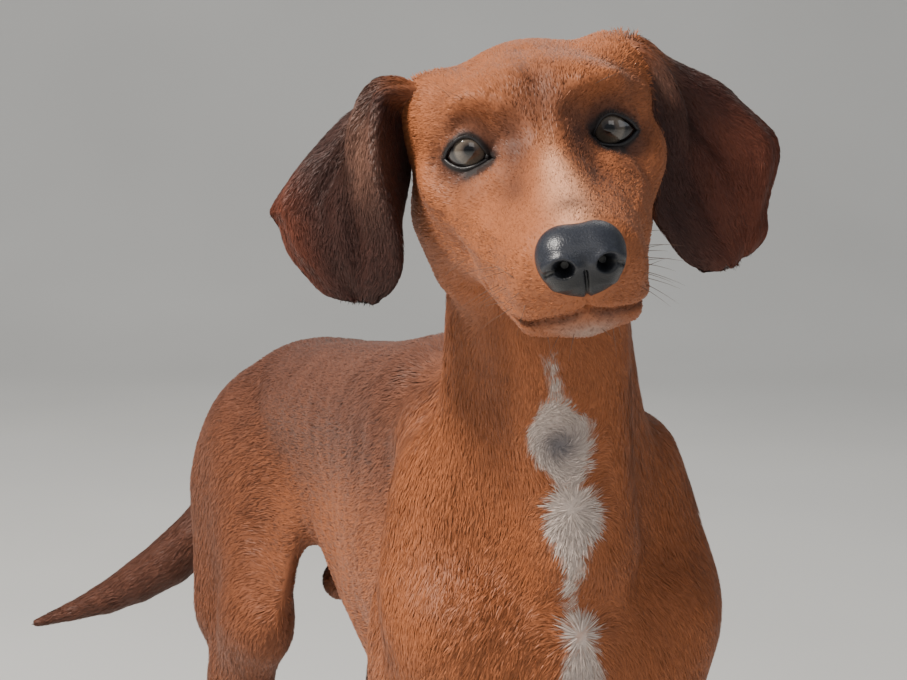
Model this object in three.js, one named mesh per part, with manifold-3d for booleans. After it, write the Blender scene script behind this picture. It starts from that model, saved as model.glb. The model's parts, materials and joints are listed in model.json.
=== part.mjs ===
// A standing short-haired hound, life size, in millimetres. +Z is up, the dog faces -Y, its left side is +X.
// The whole body is one smooth field of bones and muscles. Each named part is a capsule drawn out from that
// part's own spine to the field's surface, trimmed by the planes where it meets its neighbours.
import * as THREE from "three";
import { LoftGeometry } from "three/addons/geometries/LoftGeometry.js";
import { mergeVertices } from "three/addons/utils/BufferGeometryUtils.js";
import Module from "manifold-3d";

const wasm = await Module();
wasm.setup();

const v = (x, y, z) => new THREE.Vector3(x, y, z);
const deg = THREE.MathUtils.degToRad;

// ---- Driving dimensions -------------------------------------------------------------------------
const GAP = 0.4; // clearance between neighbouring parts
const COAT = { red: 0x9a5428, ear: 0x5c3023, nose: 0x26272c, eye: 0x8f8778 };

const WITHERS = 524; // height of the top of the shoulders
const BACK = 505; // height of the back over the loin
const CROUP = 487; // height over the hips
const BRISKET = 268; // lowest point of the chest
const ELBOW = v(60, 4, 292);
const SHOULDER = v(52.5, -64, 404); // point of the shoulder
const BLADE_TOP = v(39, 12, 480);
const LEAN = v(5, 0, 0); // the top of the shoulders sits a little to the dog's left
const CARPUS = v(57, -8, 122);
const FETLOCK = v(57, -20, 44);
const HIP = v(46, 372, 410);
const KNEE = v(56, 337, 306);
const HOCK = v(54, 440, 150);
const HEEL = v(54, 434, 42);
const TAIL_ROOT = v(0, 424, 440);

// The head has a frame of its own: origin midway between the pupils, facing -Y, with +Z to the crown.
const HEAD_AT = v(-42.5, -150.5, 635.5);
const HEAD_TURN = new THREE.Euler(deg(7), deg(-8.8), deg(-14.3), "ZXY");
const EYE_RADIUS = 11.5;
const EYE_CENTRE = v(29, 4, 0);
const headMatrix = new THREE.Matrix4().compose(
  HEAD_AT,
  new THREE.Quaternion().setFromEuler(HEAD_TURN),
  v(1, 1, 1),
);
const headInverse = headMatrix.clone().invert();
const fromHead = (x, y, z) => v(x, y, z).applyMatrix4(headMatrix);

// ---- Flesh: signed distances --------------------------------------------------------------------
// A tapered limb of flesh from a to b. flat squeezes it across one axis to that share of its width.
function limb(a, b, ra, rb, flat = 1, axis = v(1, 0, 0)) {
  const along = b.clone().sub(a);
  const long = along.lengthSq();
  const d = v(0, 0, 0);
  return (p) => {
    d.subVectors(p, a);
    const t = THREE.MathUtils.clamp(d.dot(along) / long, 0, 1);
    d.addScaledVector(along, -t);
    if (flat !== 1) d.addScaledVector(axis, d.dot(axis) * (1 / flat - 1));
    return (d.length() - ra - (rb - ra) * t) * Math.min(1, flat);
  };
}

// An egg of flesh with three radii, turned by an Euler rotation.
function egg(centre, radii, turn = new THREE.Euler()) {
  const back = new THREE.Quaternion().setFromEuler(turn).invert();
  const d = v(0, 0, 0);
  const e = v(0, 0, 0);
  return (p) => {
    d.subVectors(p, centre).applyQuaternion(back).divide(radii);
    const near = d.length();
    e.copy(d).divide(radii);
    return near < 1e-9 ? -Math.min(radii.x, radii.y, radii.z) : (near * (near - 1)) / e.length();
  };
}

// Flesh melted together: where two pieces are within soft of each other, the surface fills between them.
function melt(soft, pieces) {
  return (p) => {
    let near = Infinity;
    for (const piece of pieces) {
      const other = piece(p);
      const h = Math.max(soft - Math.abs(near - other), 0) / soft;
      near = Math.min(near, other) - (Number.isFinite(near) ? (h * h * soft) / 4 : 0);
    }
    return near;
  };
}

const bell = (distance, width) => Math.exp(-Math.pow(distance / width, 2));
const mirrored = (p, side) => v(p.x * side, p.y, p.z);
const bothSides = (make) => [...make(1), ...make(-1)];

// ---- Trunk --------------------------------------------------------------------------------------
const trunkFlesh = melt(30, [
  egg(v(0, 84, 420), v(58, 142, 87), new THREE.Euler(deg(-3), 0, 0)), // rib cage
  egg(v(0, 50, 362), v(33, 102, 86), new THREE.Euler(deg(-4), 0, 0)),
  egg(v(0, -32, 390), v(54, 60, 82)), // fore chest
  limb(v(0, -78, 396), v(0, -82, 440), 18, 13), // point of the breastbone
  egg(v(0, -64, 410), v(34, 30, 58), new THREE.Euler(deg(-4), 0, 0)), // front of the breast
  limb(v(0, -56, 336), v(0, 64, BRISKET + 26), 26, 26), // keel of the breastbone
  limb(v(0, 60, 295), v(0, 215, 347), 25, 26), // floor of the chest, rising to the belly
  limb(v(0, -8, WITHERS - 35), v(0, 60, WITHERS - 34), 28, 26, 0.8), // withers
  egg(v(0, -14, 500), v(22, 34, 32)), // where the neck meets the withers
  egg(v(0, 240, BACK - 76), v(45, 105, 56)), // loin
  limb(v(0, 160, 368), v(0, 330, 402), 36, 30), // belly
  limb(v(0, 256, 360), v(0, 324, 331), 9, 15), // sheath
  egg(v(0, 362, 415), v(50, 82, 51)), // pelvis
  limb(v(0, 376, CROUP - 42), TAIL_ROOT, 36, 22), // croup
  ...bothSides((s) => [
    limb(v(22 * s, 66, WITHERS - 38), v(23 * s, 345, CROUP - 38), 34, 33), // long back muscle
    egg(v(38 * s, 376, 405), v(33, 58, 44)), // rump muscle
    limb(v(34 * s, 416, 404), v(42 * s, 428, 366), 28, 26), // seat bone and hamstrings
  ]),
]);

// ---- Shoulders and thighs, which trunk and legs share -------------------------------------------
const shoulderFlesh = (s) => [
  limb(mirrored(BLADE_TOP, s).add(LEAN), mirrored(SHOULDER, s), 26, 26, 0.9), // shoulder blade
  egg(v(41 * s, -26, 444).add(LEAN), v(25, 32, 48)), // front edge of the blade
  limb(mirrored(SHOULDER, s), mirrored(ELBOW, s), 25, 22), // upper arm
  egg(v(54 * s, -6, 372), v(22, 42, 56), new THREE.Euler(deg(-18), 0, 0)), // triceps
  egg(v(34 * s, -68, 376), v(33, 30, 52), new THREE.Euler(deg(-8), 0, deg(-12 * s))), // breast muscle
  limb(v(46.5 * s + 1, -37, 474), v(56 * s + 3, -44, 420), 23, 26), // slope of the neck into the shoulder
];
const thighFlesh = (s) => [
  limb(mirrored(HIP, s), mirrored(KNEE, s), 48, 30, 0.7), // front of the thigh
  limb(v(51 * s, 408, 374), v(60 * s, 400, 300), 43, 34, 0.72), // back of the thigh
  limb(v(42 * s, 292, 372), v(50 * s, 308, 318), 15, 19, 0.5), // fold of the flank
];

// ---- Legs ---------------------------------------------------------------------------------------
const foreFlesh = (s) => [
  limb(mirrored(ELBOW, s), mirrored(CARPUS, s).lerp(mirrored(ELBOW, s), 0.45), 26, 19, 0.85),
  limb(mirrored(ELBOW, s), mirrored(CARPUS, s), 19, 15.5), // forearm
  limb(v(60 * s, 24, 298), v(59 * s, 18, 274), 14, 10), // point of the elbow
  egg(mirrored(CARPUS, s).add(v(0, 1, 0)), v(18.5, 17.5, 22)), // wrist
  limb(v(57 * s, 12, 112), v(57 * s, 9, 98), 9, 7), // heel pad of the wrist
  limb(mirrored(CARPUS, s), mirrored(FETLOCK, s), 15.5, 17, 0.92),
];
const hindFlesh = (s) => [
  limb(mirrored(KNEE, s), v(56 * s, 390, 226), 28, 23, 0.8), // second thigh
  limb(v(57 * s, 384, 256), mirrored(HOCK, s), 28, 14.5, 0.8),
  egg(v(56 * s, 314, 306), v(14, 14, 19)), // kneecap
  limb(v(54 * s, 414, 236), v(54 * s, 459, 164), 10, 8.5), // hamstring cord of the hock
  egg(mirrored(HOCK, s).add(v(0, 4, 0)), v(16.5, 20, 22)),
  limb(v(54 * s, 456, 160), v(54 * s, 452, 138), 11, 10), // point of the hock
  limb(mirrored(HOCK, s), mirrored(HEEL, s), 15, 14.5, 0.9),
];

// A paw is a pad with four toes that fan out in front of it, each a knuckle and a tip.
const PAW = { toeGap: 11.8, knuckle: 11, tip: 9.5, tall: 25 };
function pawFlesh(heel, s, reach) {
  const at = (x, y, z) => v(heel.x * s + x, heel.y + y, z);
  const pieces = [
    limb(v(heel.x * s, heel.y, heel.z), at(0, -reach * 0.42, 23), 16, 19),
    egg(at(0, -9, 12), v(17, 17, 14)), // main pad
  ];
  for (const i of [-1.5, -0.5, 0.5, 1.5]) {
    const inner = Math.abs(i) < 1;
    const far = reach * (inner ? 1 : 0.8);
    const wide = i * PAW.toeGap;
    const knuckle = at(wide, -far * 0.66, PAW.tall - (inner ? 8 : 11));
    const tip = at(wide * 1.12, -far, 8.5);
    pieces.push(limb(at(wide * 0.7, -far * 0.2, 24), knuckle, 11, PAW.knuckle, 0.8));
    pieces.push(limb(knuckle, tip, PAW.knuckle - 1, PAW.tip, 0.8));
  }
  return pieces;
}
const FORE_REACH = 46;
const HIND_REACH = 43;

// ---- Neck and head ------------------------------------------------------------------------------
const NECK_BASE = v(0, -42, 458);
const NECK_TOP = fromHead(0, 64, -22);
const neckFlesh = [
  limb(NECK_BASE, NECK_TOP, 52, 42, 0.7),
  limb(v(0, 14, 485), fromHead(0, 77, -8), 32, 26, 0.78), // crest
  limb(v(0, -74, 448), fromHead(0, 38, -46), 26, 24), // windpipe and throat
  ...bothSides((s) => [
    limb(v(9 * s, -98, 446), fromHead(19 * s, 48, -40), 10, 12), // strap from breastbone to jaw
    limb(v(34 * s, -46, 446), fromHead(17 * s, 64, -14), 24, 13), // strap from shoulder to poll
  ]),
];

const headFleshLocal = melt(13, [
  egg(v(0, 46, -4), v(46, 56, 39)), // brain case
  egg(v(0, 12, 7), v(33, 30, 25)), // forehead
  egg(v(0, 92, 0), v(27, 20, 24)), // poll
  limb(v(0, -4, -6), v(0, -90, -23), 15, 11), // bridge of the muzzle
  limb(v(0, -60, -33), v(0, -90, -37), 20, 15), // front of the muzzle
  limb(v(0, 10, -51), v(0, -70, -54), 16, 10), // floor of the jaw
  egg(v(0, -79, -54), v(14, 12, 9)), // chin
  egg(v(0, 36, -44), v(30, 42, 24)), // throat
  ...bothSides((s) => [
    egg(v(40 * s, 20, -14), v(13, 30, 14)), // cheekbone
    egg(v(42 * s, 40, 11.5 + 2.5 * s), v(13, 18, 17)), // root of the ear
    egg(v(34 * s, 46, 2 + 2 * s), v(17, 34, 26.5 + 1.5 * s)), // temple
    limb(v(24 * s, 10, 15), v(37 * s, 34, 13), 9, 11), // from the brow to the temple
    egg(v(22 * s, 0, 17), v(14, 10, 9)), // brow
    limb(v(15 * s, 2, 10), v(40 * s, 12, 8), 6, 6), // upper lid
    limb(v(17 * s, 2, -11), v(39 * s, 13, -11), 6, 6), // lower lid
    limb(v(17 * s, -10, -25), v(12 * s, -82, -31), 17, 13), // side of the muzzle
    limb(v(18.5 * s - 0.5, -24, -42), v(14.5 * s - 0.5, -76, -42), 10, 11.5), // flews
    limb(v(31 * s, 6, -24), v(23.5 * s, -38, -33), 14, 11), // under the eye
    egg(v(33 * s - 1, 34, -33), v(15, 30, 25)), // cheek
    limb(v(30 * s, 40, -46), v(16 * s, -66, -55), 13, 9), // jaw
  ]),
  limb(v(-41, 36, -33), v(-37, 46, -58), 16, 14), // the turned head bunches the cheek of its right side
]);
const headPoint = v(0, 0, 0);
const localPoint = v(0, 0, 0);
const headFlesh = (p) => headFleshLocal(headPoint.copy(p).applyMatrix4(headInverse));

// ---- Tail: low, curving back and out ------------------------------------------------------------
const TAIL = new THREE.CatmullRomCurve3([
  v(0, 392, 446),
  v(0, 438, 438),
  v(-4, 474, 410),
  v(-28, 494, 364),
  v(-70, 506, 315),
  v(-119, 532, 278),
  v(-171, 558, 255),
]);
const TAIL_CUT = 0.5; // where along its length the tail is parted
const tailRadius = (t) =>
  THREE.MathUtils.lerp(25, 4, Math.pow(t, 0.85)) + 6.5 * Math.sin(Math.PI * t) + 3.5 * bell(t - 0.72, 0.18);
const tailFlesh = [];
const TAIL_LINKS = 12;
for (let i = 0; i < TAIL_LINKS; i++) {
  const [t, u] = [i / TAIL_LINKS, (i + 1) / TAIL_LINKS];
  tailFlesh.push(limb(TAIL.getPointAt(t), TAIL.getPointAt(u), tailRadius(t), tailRadius(u)));
}

// ---- The whole body -----------------------------------------------------------------------------
const bodyFlesh = melt(22, [trunkFlesh, ...bothSides(shoulderFlesh), ...bothSides(thighFlesh), ...neckFlesh]);
const upperFlesh = melt(16, [bodyFlesh, headFlesh]);
const legFlesh = (own, s, paw) => melt(14, [bodyFlesh, melt(12, own(s)), melt(5, paw)]);

// ---- Planes where parts meet --------------------------------------------------------------------
const plane = (at, normal) => new THREE.Plane().setFromNormalAndCoplanarPoint(normal.clone().normalize(), at);
const flipped = (p) => p.clone().negate();

const neckPlane = plane(v(0, -50, 478), v(0, -0.62, 0.78)); // the neck is on its positive side
const headPlane = plane(
  fromHead(0, 60, -30),
  fromHead(0, 60, -30).sub(fromHead(0, 84, -100)),
); // the head is on its positive side
const tailPlane = plane(TAIL.getPointAt(0.13), TAIL.getTangentAt(0.13));
const tailMidPlane = plane(TAIL.getPointAt(TAIL_CUT), TAIL.getTangentAt(TAIL_CUT));
const foreTop = (s) => plane(v(32 * s, 0, 296), v(0.62 * s, 0.1, -0.78));
const foreMid = plane(v(0, -8, 128), v(0, 0, -1));
const hindTop = (s) => plane(v(12 * s, 330, 340), v(0.74 * s, 0.25, -0.63));
const hindFront = plane(v(0, 282, 330), v(0, 1, 0.12));
const hindMid = plane(v(0, 440, 166), v(0, 0.25, -1));
const pawTop = (heel) => plane(v(0, heel.y, heel.z + 6), v(0, -0.1, -1));
const midline = (s) => plane(v(0, 0, 0), v(s, 0, 0));
const floor = plane(v(0, 0, 0), v(0, 0, 1));

// ---- Wrapping a solid round a spine -------------------------------------------------------------
const RAY_STEP = 2.5;
const BISECTIONS = 14;
const OVERRUN = 14; // how far a solid runs past the planes that trim it

// The distance from start along way to the surface of the flesh, or to where the part's planes end it.
function cast(flesh, start, way, limits, level) {
  const p = v(0, 0, 0);
  const outside = (t) => {
    p.copy(start).addScaledVector(way, t);
    if (t > 0 && limits.some((limit) => limit.distanceToPoint(p) < -OVERRUN)) return true;
    return flesh(p) > level;
  };
  let far = RAY_STEP;
  while (far < 400 && !outside(far)) far += RAY_STEP;
  let near = far - RAY_STEP;
  for (let i = 0; i < BISECTIONS; i++) {
    const middle = (near + far) / 2;
    if (outside(middle)) far = middle;
    else near = middle;
  }
  return Math.max(near, 0.6);
}

// A capsule drawn round a spine, its every vertex moved out to the surface of the flesh.
function wrap(flesh, spine, { rings, sides, caps = 4, limits = [], level = 0, up = v(0, 0, 1) }) {
  const capsule = new THREE.CapsuleGeometry(1, 1, caps, sides, rings);
  const points = capsule.attributes.position;
  const way = v(0, 0, 0);
  for (let i = 0; i < points.count; i++) {
    way.fromBufferAttribute(points, i);
    const t = THREE.MathUtils.clamp(way.y + 0.5, 0, 1);
    way.y += 0.5 - t;
    const centre = spine.getPointAt(t);
    const ahead = spine.getTangentAt(t);
    const right = v(0, 0, 0).crossVectors(ahead, up).normalize();
    const above = v(0, 0, 0).crossVectors(right, ahead);
    way.applyMatrix4(new THREE.Matrix4().makeBasis(right, ahead, above)).normalize();
    centre.addScaledVector(way, cast(flesh, centre, way, limits, level));
    points.setXYZ(i, centre.x, centre.y, centre.z);
  }
  return solid(capsule);
}

// A three.js geometry as a closed solid, and a solid back as a geometry.
function solid(geometry) {
  const bare = new THREE.BufferGeometry().setAttribute("position", geometry.attributes.position.clone());
  const merged = mergeVertices(bare.setIndex(geometry.index), 1e-3);
  const faces = [];
  for (let i = 0; i < merged.index.count; i += 3) {
    const [a, b, c] = merged.index.array.slice(i, i + 3);
    if (a !== b && b !== c && c !== a) faces.push(a, b, c);
  }
  const made = new wasm.Manifold(
    new wasm.Mesh({
      numProp: 3,
      vertProperties: new Float32Array(merged.attributes.position.array),
      triVerts: new Uint32Array(faces),
    }),
  );
  if (made.volume() > 0) return made;
  const flip = new THREE.BufferGeometry().setAttribute("position", merged.attributes.position);
  return solid(flip.setIndex(faces.toReversed()));
}

function geometryOf(made) {
  const { vertProperties, triVerts } = made.getMesh();
  const geometry = new THREE.BufferGeometry()
    .setAttribute("position", new THREE.BufferAttribute(vertProperties, 3))
    .setIndex(new THREE.BufferAttribute(triVerts, 1));
  geometry.computeVertexNormals();
  return geometry;
}

// Keeps the part of a solid on the positive side of each plane, half a gap clear of it.
function trim(made, planes) {
  return planes.reduce((rest, cut) => rest.trimByPlane(cut.normal.toArray(), -cut.constant + GAP / 2), made);
}

// The corner of space on the positive side of every plane, half a gap past each, to cut a neighbour with.
function corner(planes) {
  const all = solid(new THREE.BoxGeometry(2000, 2000, 2000));
  return planes.reduce((rest, cut) => rest.trimByPlane(cut.normal.toArray(), -cut.constant - GAP / 2), all);
}

const largest = (made) => made.decompose().reduce((a, b) => (a.volume() > b.volume() ? a : b));
const curve = (...points) => new THREE.CatmullRomCurve3(points);

// ---- Parts --------------------------------------------------------------------------------------
const dog = new THREE.Group();
function add(name, made, color, roughness = 0.75) {
  const material = new THREE.MeshStandardMaterial({ color, roughness, metalness: 0 });
  const mesh = new THREE.Mesh(geometryOf(largest(made)), material);
  mesh.name = name;
  dog.add(mesh);
}

function makeTrunk() {
  const spine = curve(v(0, -34, 398), v(0, 80, 404), v(0, 220, 428), v(0, 350, 436), v(0, 404, 434));
  const whole = wrap(melt(16, [bodyFlesh, ...tailFlesh.slice(0, 5)]), spine, {
    rings: 20,
    sides: 26,
    caps: 6,
    limits: [flipped(neckPlane), flipped(tailPlane)],
  });
  let trunk = trim(whole, [flipped(neckPlane), flipped(tailPlane)]);
  for (const s of [1, -1]) {
    trunk = trunk.subtract(corner([foreTop(s), midline(s), plane(v(0, 150, 0), v(0, -1, 0))]));
    trunk = trunk.subtract(corner([hindTop(s), hindFront, midline(s)]));
  }
  add("trunk", trunk, COAT.red);
}

function makeNeck() {
  const root = neckPlane.projectPoint(NECK_BASE, v(0, 0, 0));
  const top = headPlane.projectPoint(NECK_TOP, v(0, 0, 0));
  const spine = curve(root, root.clone().lerp(top, 0.5).add(v(0, 6, 0)), top);
  const whole = wrap(upperFlesh, spine, {
    rings: 8,
    sides: 20,
    caps: 3,
    up: v(0, -1, 0),
    limits: [neckPlane, flipped(headPlane)],
  });
  add("neck", trim(whole, [neckPlane, flipped(headPlane)]), COAT.red);
}

const EAR = { thick: 5.2, steps: 11, sides: 14 };
// Folds of an ear: where across it at its root and at its tip, how wide, how far out, and between which
// shares of its length.
const EAR_FOLDS = [
  [0.16, 0.48, 0.08, 4.4, 0.12, 0.62],
  [0.46, 0.74, 0.13, -6, 0.16, 0.72],
  [0.22, 0.42, 0.1, -3.8, 0.45, 0.95],
  [0.92, 0.82, 0.08, 3, 0.45, 0.95],
];
const foldRise = (u, t) =>
  EAR_FOLDS.reduce((sum, [root, end, width, rise, high, low]) => {
    const begins = THREE.MathUtils.smoothstep(t, high - 0.1, high + 0.15);
    const ends = THREE.MathUtils.smoothstep(t, low - 0.25, low + 0.1);
    return sum + rise * begins * (1 - ends) * bell(u - root - (end - root) * t, width);
  }, 0);

// An ear is a sheet that leaves the skull level, turns over its own top and hangs, wider towards its tip.
// lines are where it joins the skull, its front edge, its middle and its hind edge, each from root to tip, in
// the head's frame. face is 1 or -1, so that its folds stand out forwards on either side.
function makeEar(name, lines, face, skull) {
  const [join, lead, fold, trail] = lines.map((points) => curve(...points));
  const sections = [];
  for (let i = 0; i <= EAR.steps; i++) {
    const t = i / EAR.steps;
    const points = [join, lead, fold, trail].map((line) => line.getPointAt(t));
    const across = curve(...points);
    const down = fold.getTangentAt(t);
    const thick = EAR.thick * (1.25 - 0.45 * t);
    const front = points[0].distanceTo(points[1]) / across.getLength();
    const ring = [];
    const half = EAR.sides / 2;
    for (let j = 0; j < EAR.sides; j++) {
      const outer = j < half;
      const u = outer ? (j + 0.5) / half : (EAR.sides - j - 0.5) / half;
      const outward = v(0, 0, 0).crossVectors(across.getTangentAt(u), down).normalize();
      const lift = thick * 0.5 * Math.pow(Math.sin(Math.PI * THREE.MathUtils.clamp(u, 0.03, 0.97)), 0.35);
      const rise = face * foldRise((u - front) / (1 - front), t);
      ring.push(across.getPointAt(u).addScaledVector(outward, rise + (outer ? lift : -lift)));
    }
    sections.push(ring);
  }
  const sheet = solid(new LoftGeometry(sections, { capStart: true, capEnd: true }).applyMatrix4(headMatrix));
  add(name, sheet.subtract(skull), COAT.ear);
}

// The leather of the nose is a short wide pad over the end of the muzzle.
const noseFlesh = melt(7, [
  egg(v(0, -97, -26), v(14, 12, 11.3)),
  ...bothSides((s) => [
    egg(v(8.2 * s, -96.5, -24), v(8.8, 11, 8.6)),
    egg(v(8.2 * s, -96, -30), v(7.6, 10.6, 8.8)), // wing of the nostril
  ]),
  egg(v(0, -95, -35.5), v(8, 10.5, 6.8)),
]);

function makeHead() {
  const spine = curve(v(0, -78, -32), v(0, -40, -24), v(0, 0, -12), v(0, 40, -6), v(0, 66, -6));
  const local = (p) => upperFlesh(localPoint.copy(p).applyMatrix4(headMatrix));
  const localPlane = headPlane.clone().applyMatrix4(headInverse);
  const shape = { rings: 18, sides: 26, limits: [localPlane] };
  const place = (made) => solid(geometryOf(made).applyMatrix4(headMatrix));
  const noseSpine = curve(v(0, -92, -29), v(0, -98, -29));
  const noseRings = { rings: 2, sides: 16, caps: 3 };
  const nose = wrap(noseFlesh, noseSpine, noseRings);
  const noseRoom = wrap(noseFlesh, noseSpine, { ...noseRings, level: GAP });

  let head = wrap(local, spine, shape).subtract(noseRoom);
  for (const s of [1, -1]) {
    const centre = mirrored(EYE_CENTRE, s);
    const ball = (radius) => new THREE.SphereGeometry(radius, 10, 8).translate(centre.x, centre.y, centre.z);
    head = head.subtract(solid(ball(EYE_RADIUS + GAP)));
    add(s > 0 ? "eye_left" : "eye_right", place(solid(ball(EYE_RADIUS))), COAT.eye, 0.1);
  }
  add("head", trim(place(head), [headPlane]), COAT.red);
  add("nose", place(nose), COAT.nose, 0.3);

  const skull = place(wrap(local, spine, { ...shape, level: GAP }));
  makeEar("ear_left", [
    [
      v(32, 29, 17), v(38, 38, 14), v(44, 40, 2), v(46, 38, -12), v(46, 30, -26), v(46.5, 22, -42),
      v(53, 21, -58), v(63, 21, -71.5),
    ],
    [
      v(33, 32, 20), v(42, 29, 25), v(48.5, 25, 13), v(49.5, 20, -2), v(47, 17, -24), v(45.5, 15, -39),
      v(51, 15, -54), v(57, 18, -66), v(66, 23, -72.5),
    ],
    [
      v(33, 42, 22), v(50, 38, 28), v(62, 36, 8), v(69, 34, -8), v(72, 30, -28), v(74, 28, -50),
      v(77, 29, -74),
    ],
    [
      v(33, 48, 22), v(46, 51, 29.5), v(66, 54, 15.5), v(85, 56, 3), v(95.5, 58, -9), v(107, 57, -23),
      v(108.5, 55.5, -31), v(105.5, 53, -40), v(99, 49, -54), v(96.5, 44, -65), v(89, 40, -70.5),
    ],
  ], -1, skull);
  makeEar("ear_right", [
    [
      v(-35, 28, 13), v(-44, 42, 13), v(-50, 44, 6), v(-53, 42, -8), v(-58, 34, -22), v(-65, 23, -36),
      v(-67.5, 20, -50), v(-77, 19, -61.5),
    ],
    [
      v(-36, 32, 16), v(-50, 30, 22), v(-61, 27, 22), v(-65, 22, 13), v(-67.5, 17, -3),
      v(-66.5, 15, -20), v(-65, 14, -38), v(-67, 14, -50), v(-72.5, 17, -58.5), v(-80, 21, -62.5),
    ],
    [
      v(-36, 40, 18), v(-58, 40, 24), v(-75, 34, 8), v(-85, 30, -11), v(-88, 28, -35),
      v(-84.5, 26, -62.5),
    ],
    [
      v(-36, 46, 17), v(-56, 47, 21), v(-64, 48, 20), v(-79, 54, 13), v(-97, 56, -1.5),
      v(-109.5, 54, -13.5), v(-117, 52, -22), v(-114.5, 50, -28.5), v(-112.5, 46, -40),
      v(-105.5, 40, -51), v(-99.5, 34, -58), v(-89, 27, -62),
    ],
  ], 1, skull);
}

function makeTail() {
  const flesh = melt(6, tailFlesh);
  const points = (from, to, n) =>
    Array.from({ length: n }, (_, i) => TAIL.getPointAt(from + ((to - from) * i) / (n - 1)));
  const base = wrap(flesh, curve(...points(0.08, TAIL_CUT + 0.03, 5)), {
    rings: 6,
    sides: 10,
    caps: 2,
    limits: [tailPlane, flipped(tailMidPlane)],
  });
  add("tail_base", trim(base, [tailPlane, flipped(tailMidPlane)]), COAT.red);
  const tip = wrap(flesh, curve(...points(TAIL_CUT - 0.03, 0.985, 5)), {
    rings: 6,
    sides: 10,
    caps: 2,
    limits: [tailMidPlane],
  });
  add("tail_tip", trim(tip, [tailMidPlane]), COAT.red);
}

// A claw is a short cone that leaves the toe forwards and down.
function claw(x, y, z) {
  const cone = new THREE.ConeGeometry(3.1, 15, 6);
  cone.rotateX(deg(-90 - 28 + 180 + 56));
  return solid(cone.translate(x, y, z));
}

function makeLeg(s, side, names, flesh, joints, cuts, reach) {
  const [top, middle, heel] = joints.map((p) => mirrored(p, s));
  const paw = pawFlesh(joints[2], s, reach);
  const whole = legFlesh(flesh, s, paw);
  const upper = wrap(whole, curve(...names.line(s)), {
    rings: names.rings,
    sides: 14,
    caps: 3,
    up: v(0, -1, 0),
    limits: [...cuts.top, flipped(cuts.middle)],
  });
  add(`${names.upper}_${side}`, trim(upper, [...cuts.top, flipped(cuts.middle)]), COAT.red);
  const pawCut = pawTop(heel);
  const shin = curve(
    middle.clone().add(v(0, 0, 8)),
    middle.clone().lerp(heel, 0.5),
    heel.clone().add(v(0, 0, -4)),
  );
  const lower = wrap(whole, shin, {
    rings: 5,
    sides: 12,
    up: v(0, -1, 0),
    caps: 2,
    limits: [cuts.middle, flipped(pawCut)],
  });
  add(`${names.lower}_${side}`, trim(lower, [cuts.middle, flipped(pawCut)]), COAT.red);
  const sole = curve(
    heel.clone().add(v(0, 4, -8)),
    heel.clone().add(v(0, -reach * 0.3, -22)),
    v(heel.x, heel.y - reach * 0.72, 15),
  );
  const foot = wrap(whole, sole, {
    rings: 5,
    sides: 14,
    up: v(0, -0.3, 1),
    caps: 3,
    limits: [pawCut],
  });
  let shod = trim(foot, [pawCut]);
  for (const i of [-1.5, -0.5, 0.5, 1.5]) {
    const far = reach * (Math.abs(i) < 1 ? 1 : 0.8);
    shod = shod.add(claw(heel.x + i * PAW.toeGap * 1.13, heel.y - far - 9.5, 8.5));
  }
  add(`${names.paw}_${side}`, trim(shod, [floor]), COAT.red);
}

makeTrunk();
makeNeck();
makeHead();
makeTail();
for (const [s, side] of [[1, "left"], [-1, "right"]]) {
  makeLeg(
    s, side,
    {
      upper: "foreleg", lower: "forewrist", paw: "forepaw", rings: 10,
      line: (k) => [
        v(60 * k, -10, 366),
        mirrored(ELBOW, k),
        mirrored(CARPUS, k).lerp(mirrored(ELBOW, k), 0.4),
        mirrored(CARPUS, k),
      ],
    },
    foreFlesh, [ELBOW, CARPUS, FETLOCK], { top: [foreTop(s), midline(s)], middle: foreMid }, FORE_REACH,
  );
  makeLeg(
    s, side,
    {
      upper: "thigh", lower: "hock", paw: "hindpaw", rings: 12,
      line: (k) => [
        v(56 * k, 380, 380),
        v(55 * k, 352, 312),
        v(55 * k, 372, 248),
        v(54 * k, 414, 190),
        mirrored(HOCK, k),
      ],
    },
    hindFlesh, [KNEE, HOCK, HEEL], { top: [hindTop(s), hindFront, midline(s)], middle: hindMid }, HIND_REACH,
  );
}

// The origin is at the middle of the whole dog's plan, on the floor.
const bounds = new THREE.Box3().setFromObject(dog);
dog.position.set(-(bounds.min.x + bounds.max.x) / 2, -(bounds.min.y + bounds.max.y) / 2, -bounds.min.z);

export default dog;
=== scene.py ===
"""The finish of a life-size standing hound: one skin over its solids, eyes, nose, claws and a short coat."""

import functools
import json
import math

import bpy
import numpy as np
from bpy.props import FloatProperty, FloatVectorProperty, IntProperty, PointerProperty
from mathutils import Matrix, Vector, noise
from mathutils.bvhtree import BVHTree

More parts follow.
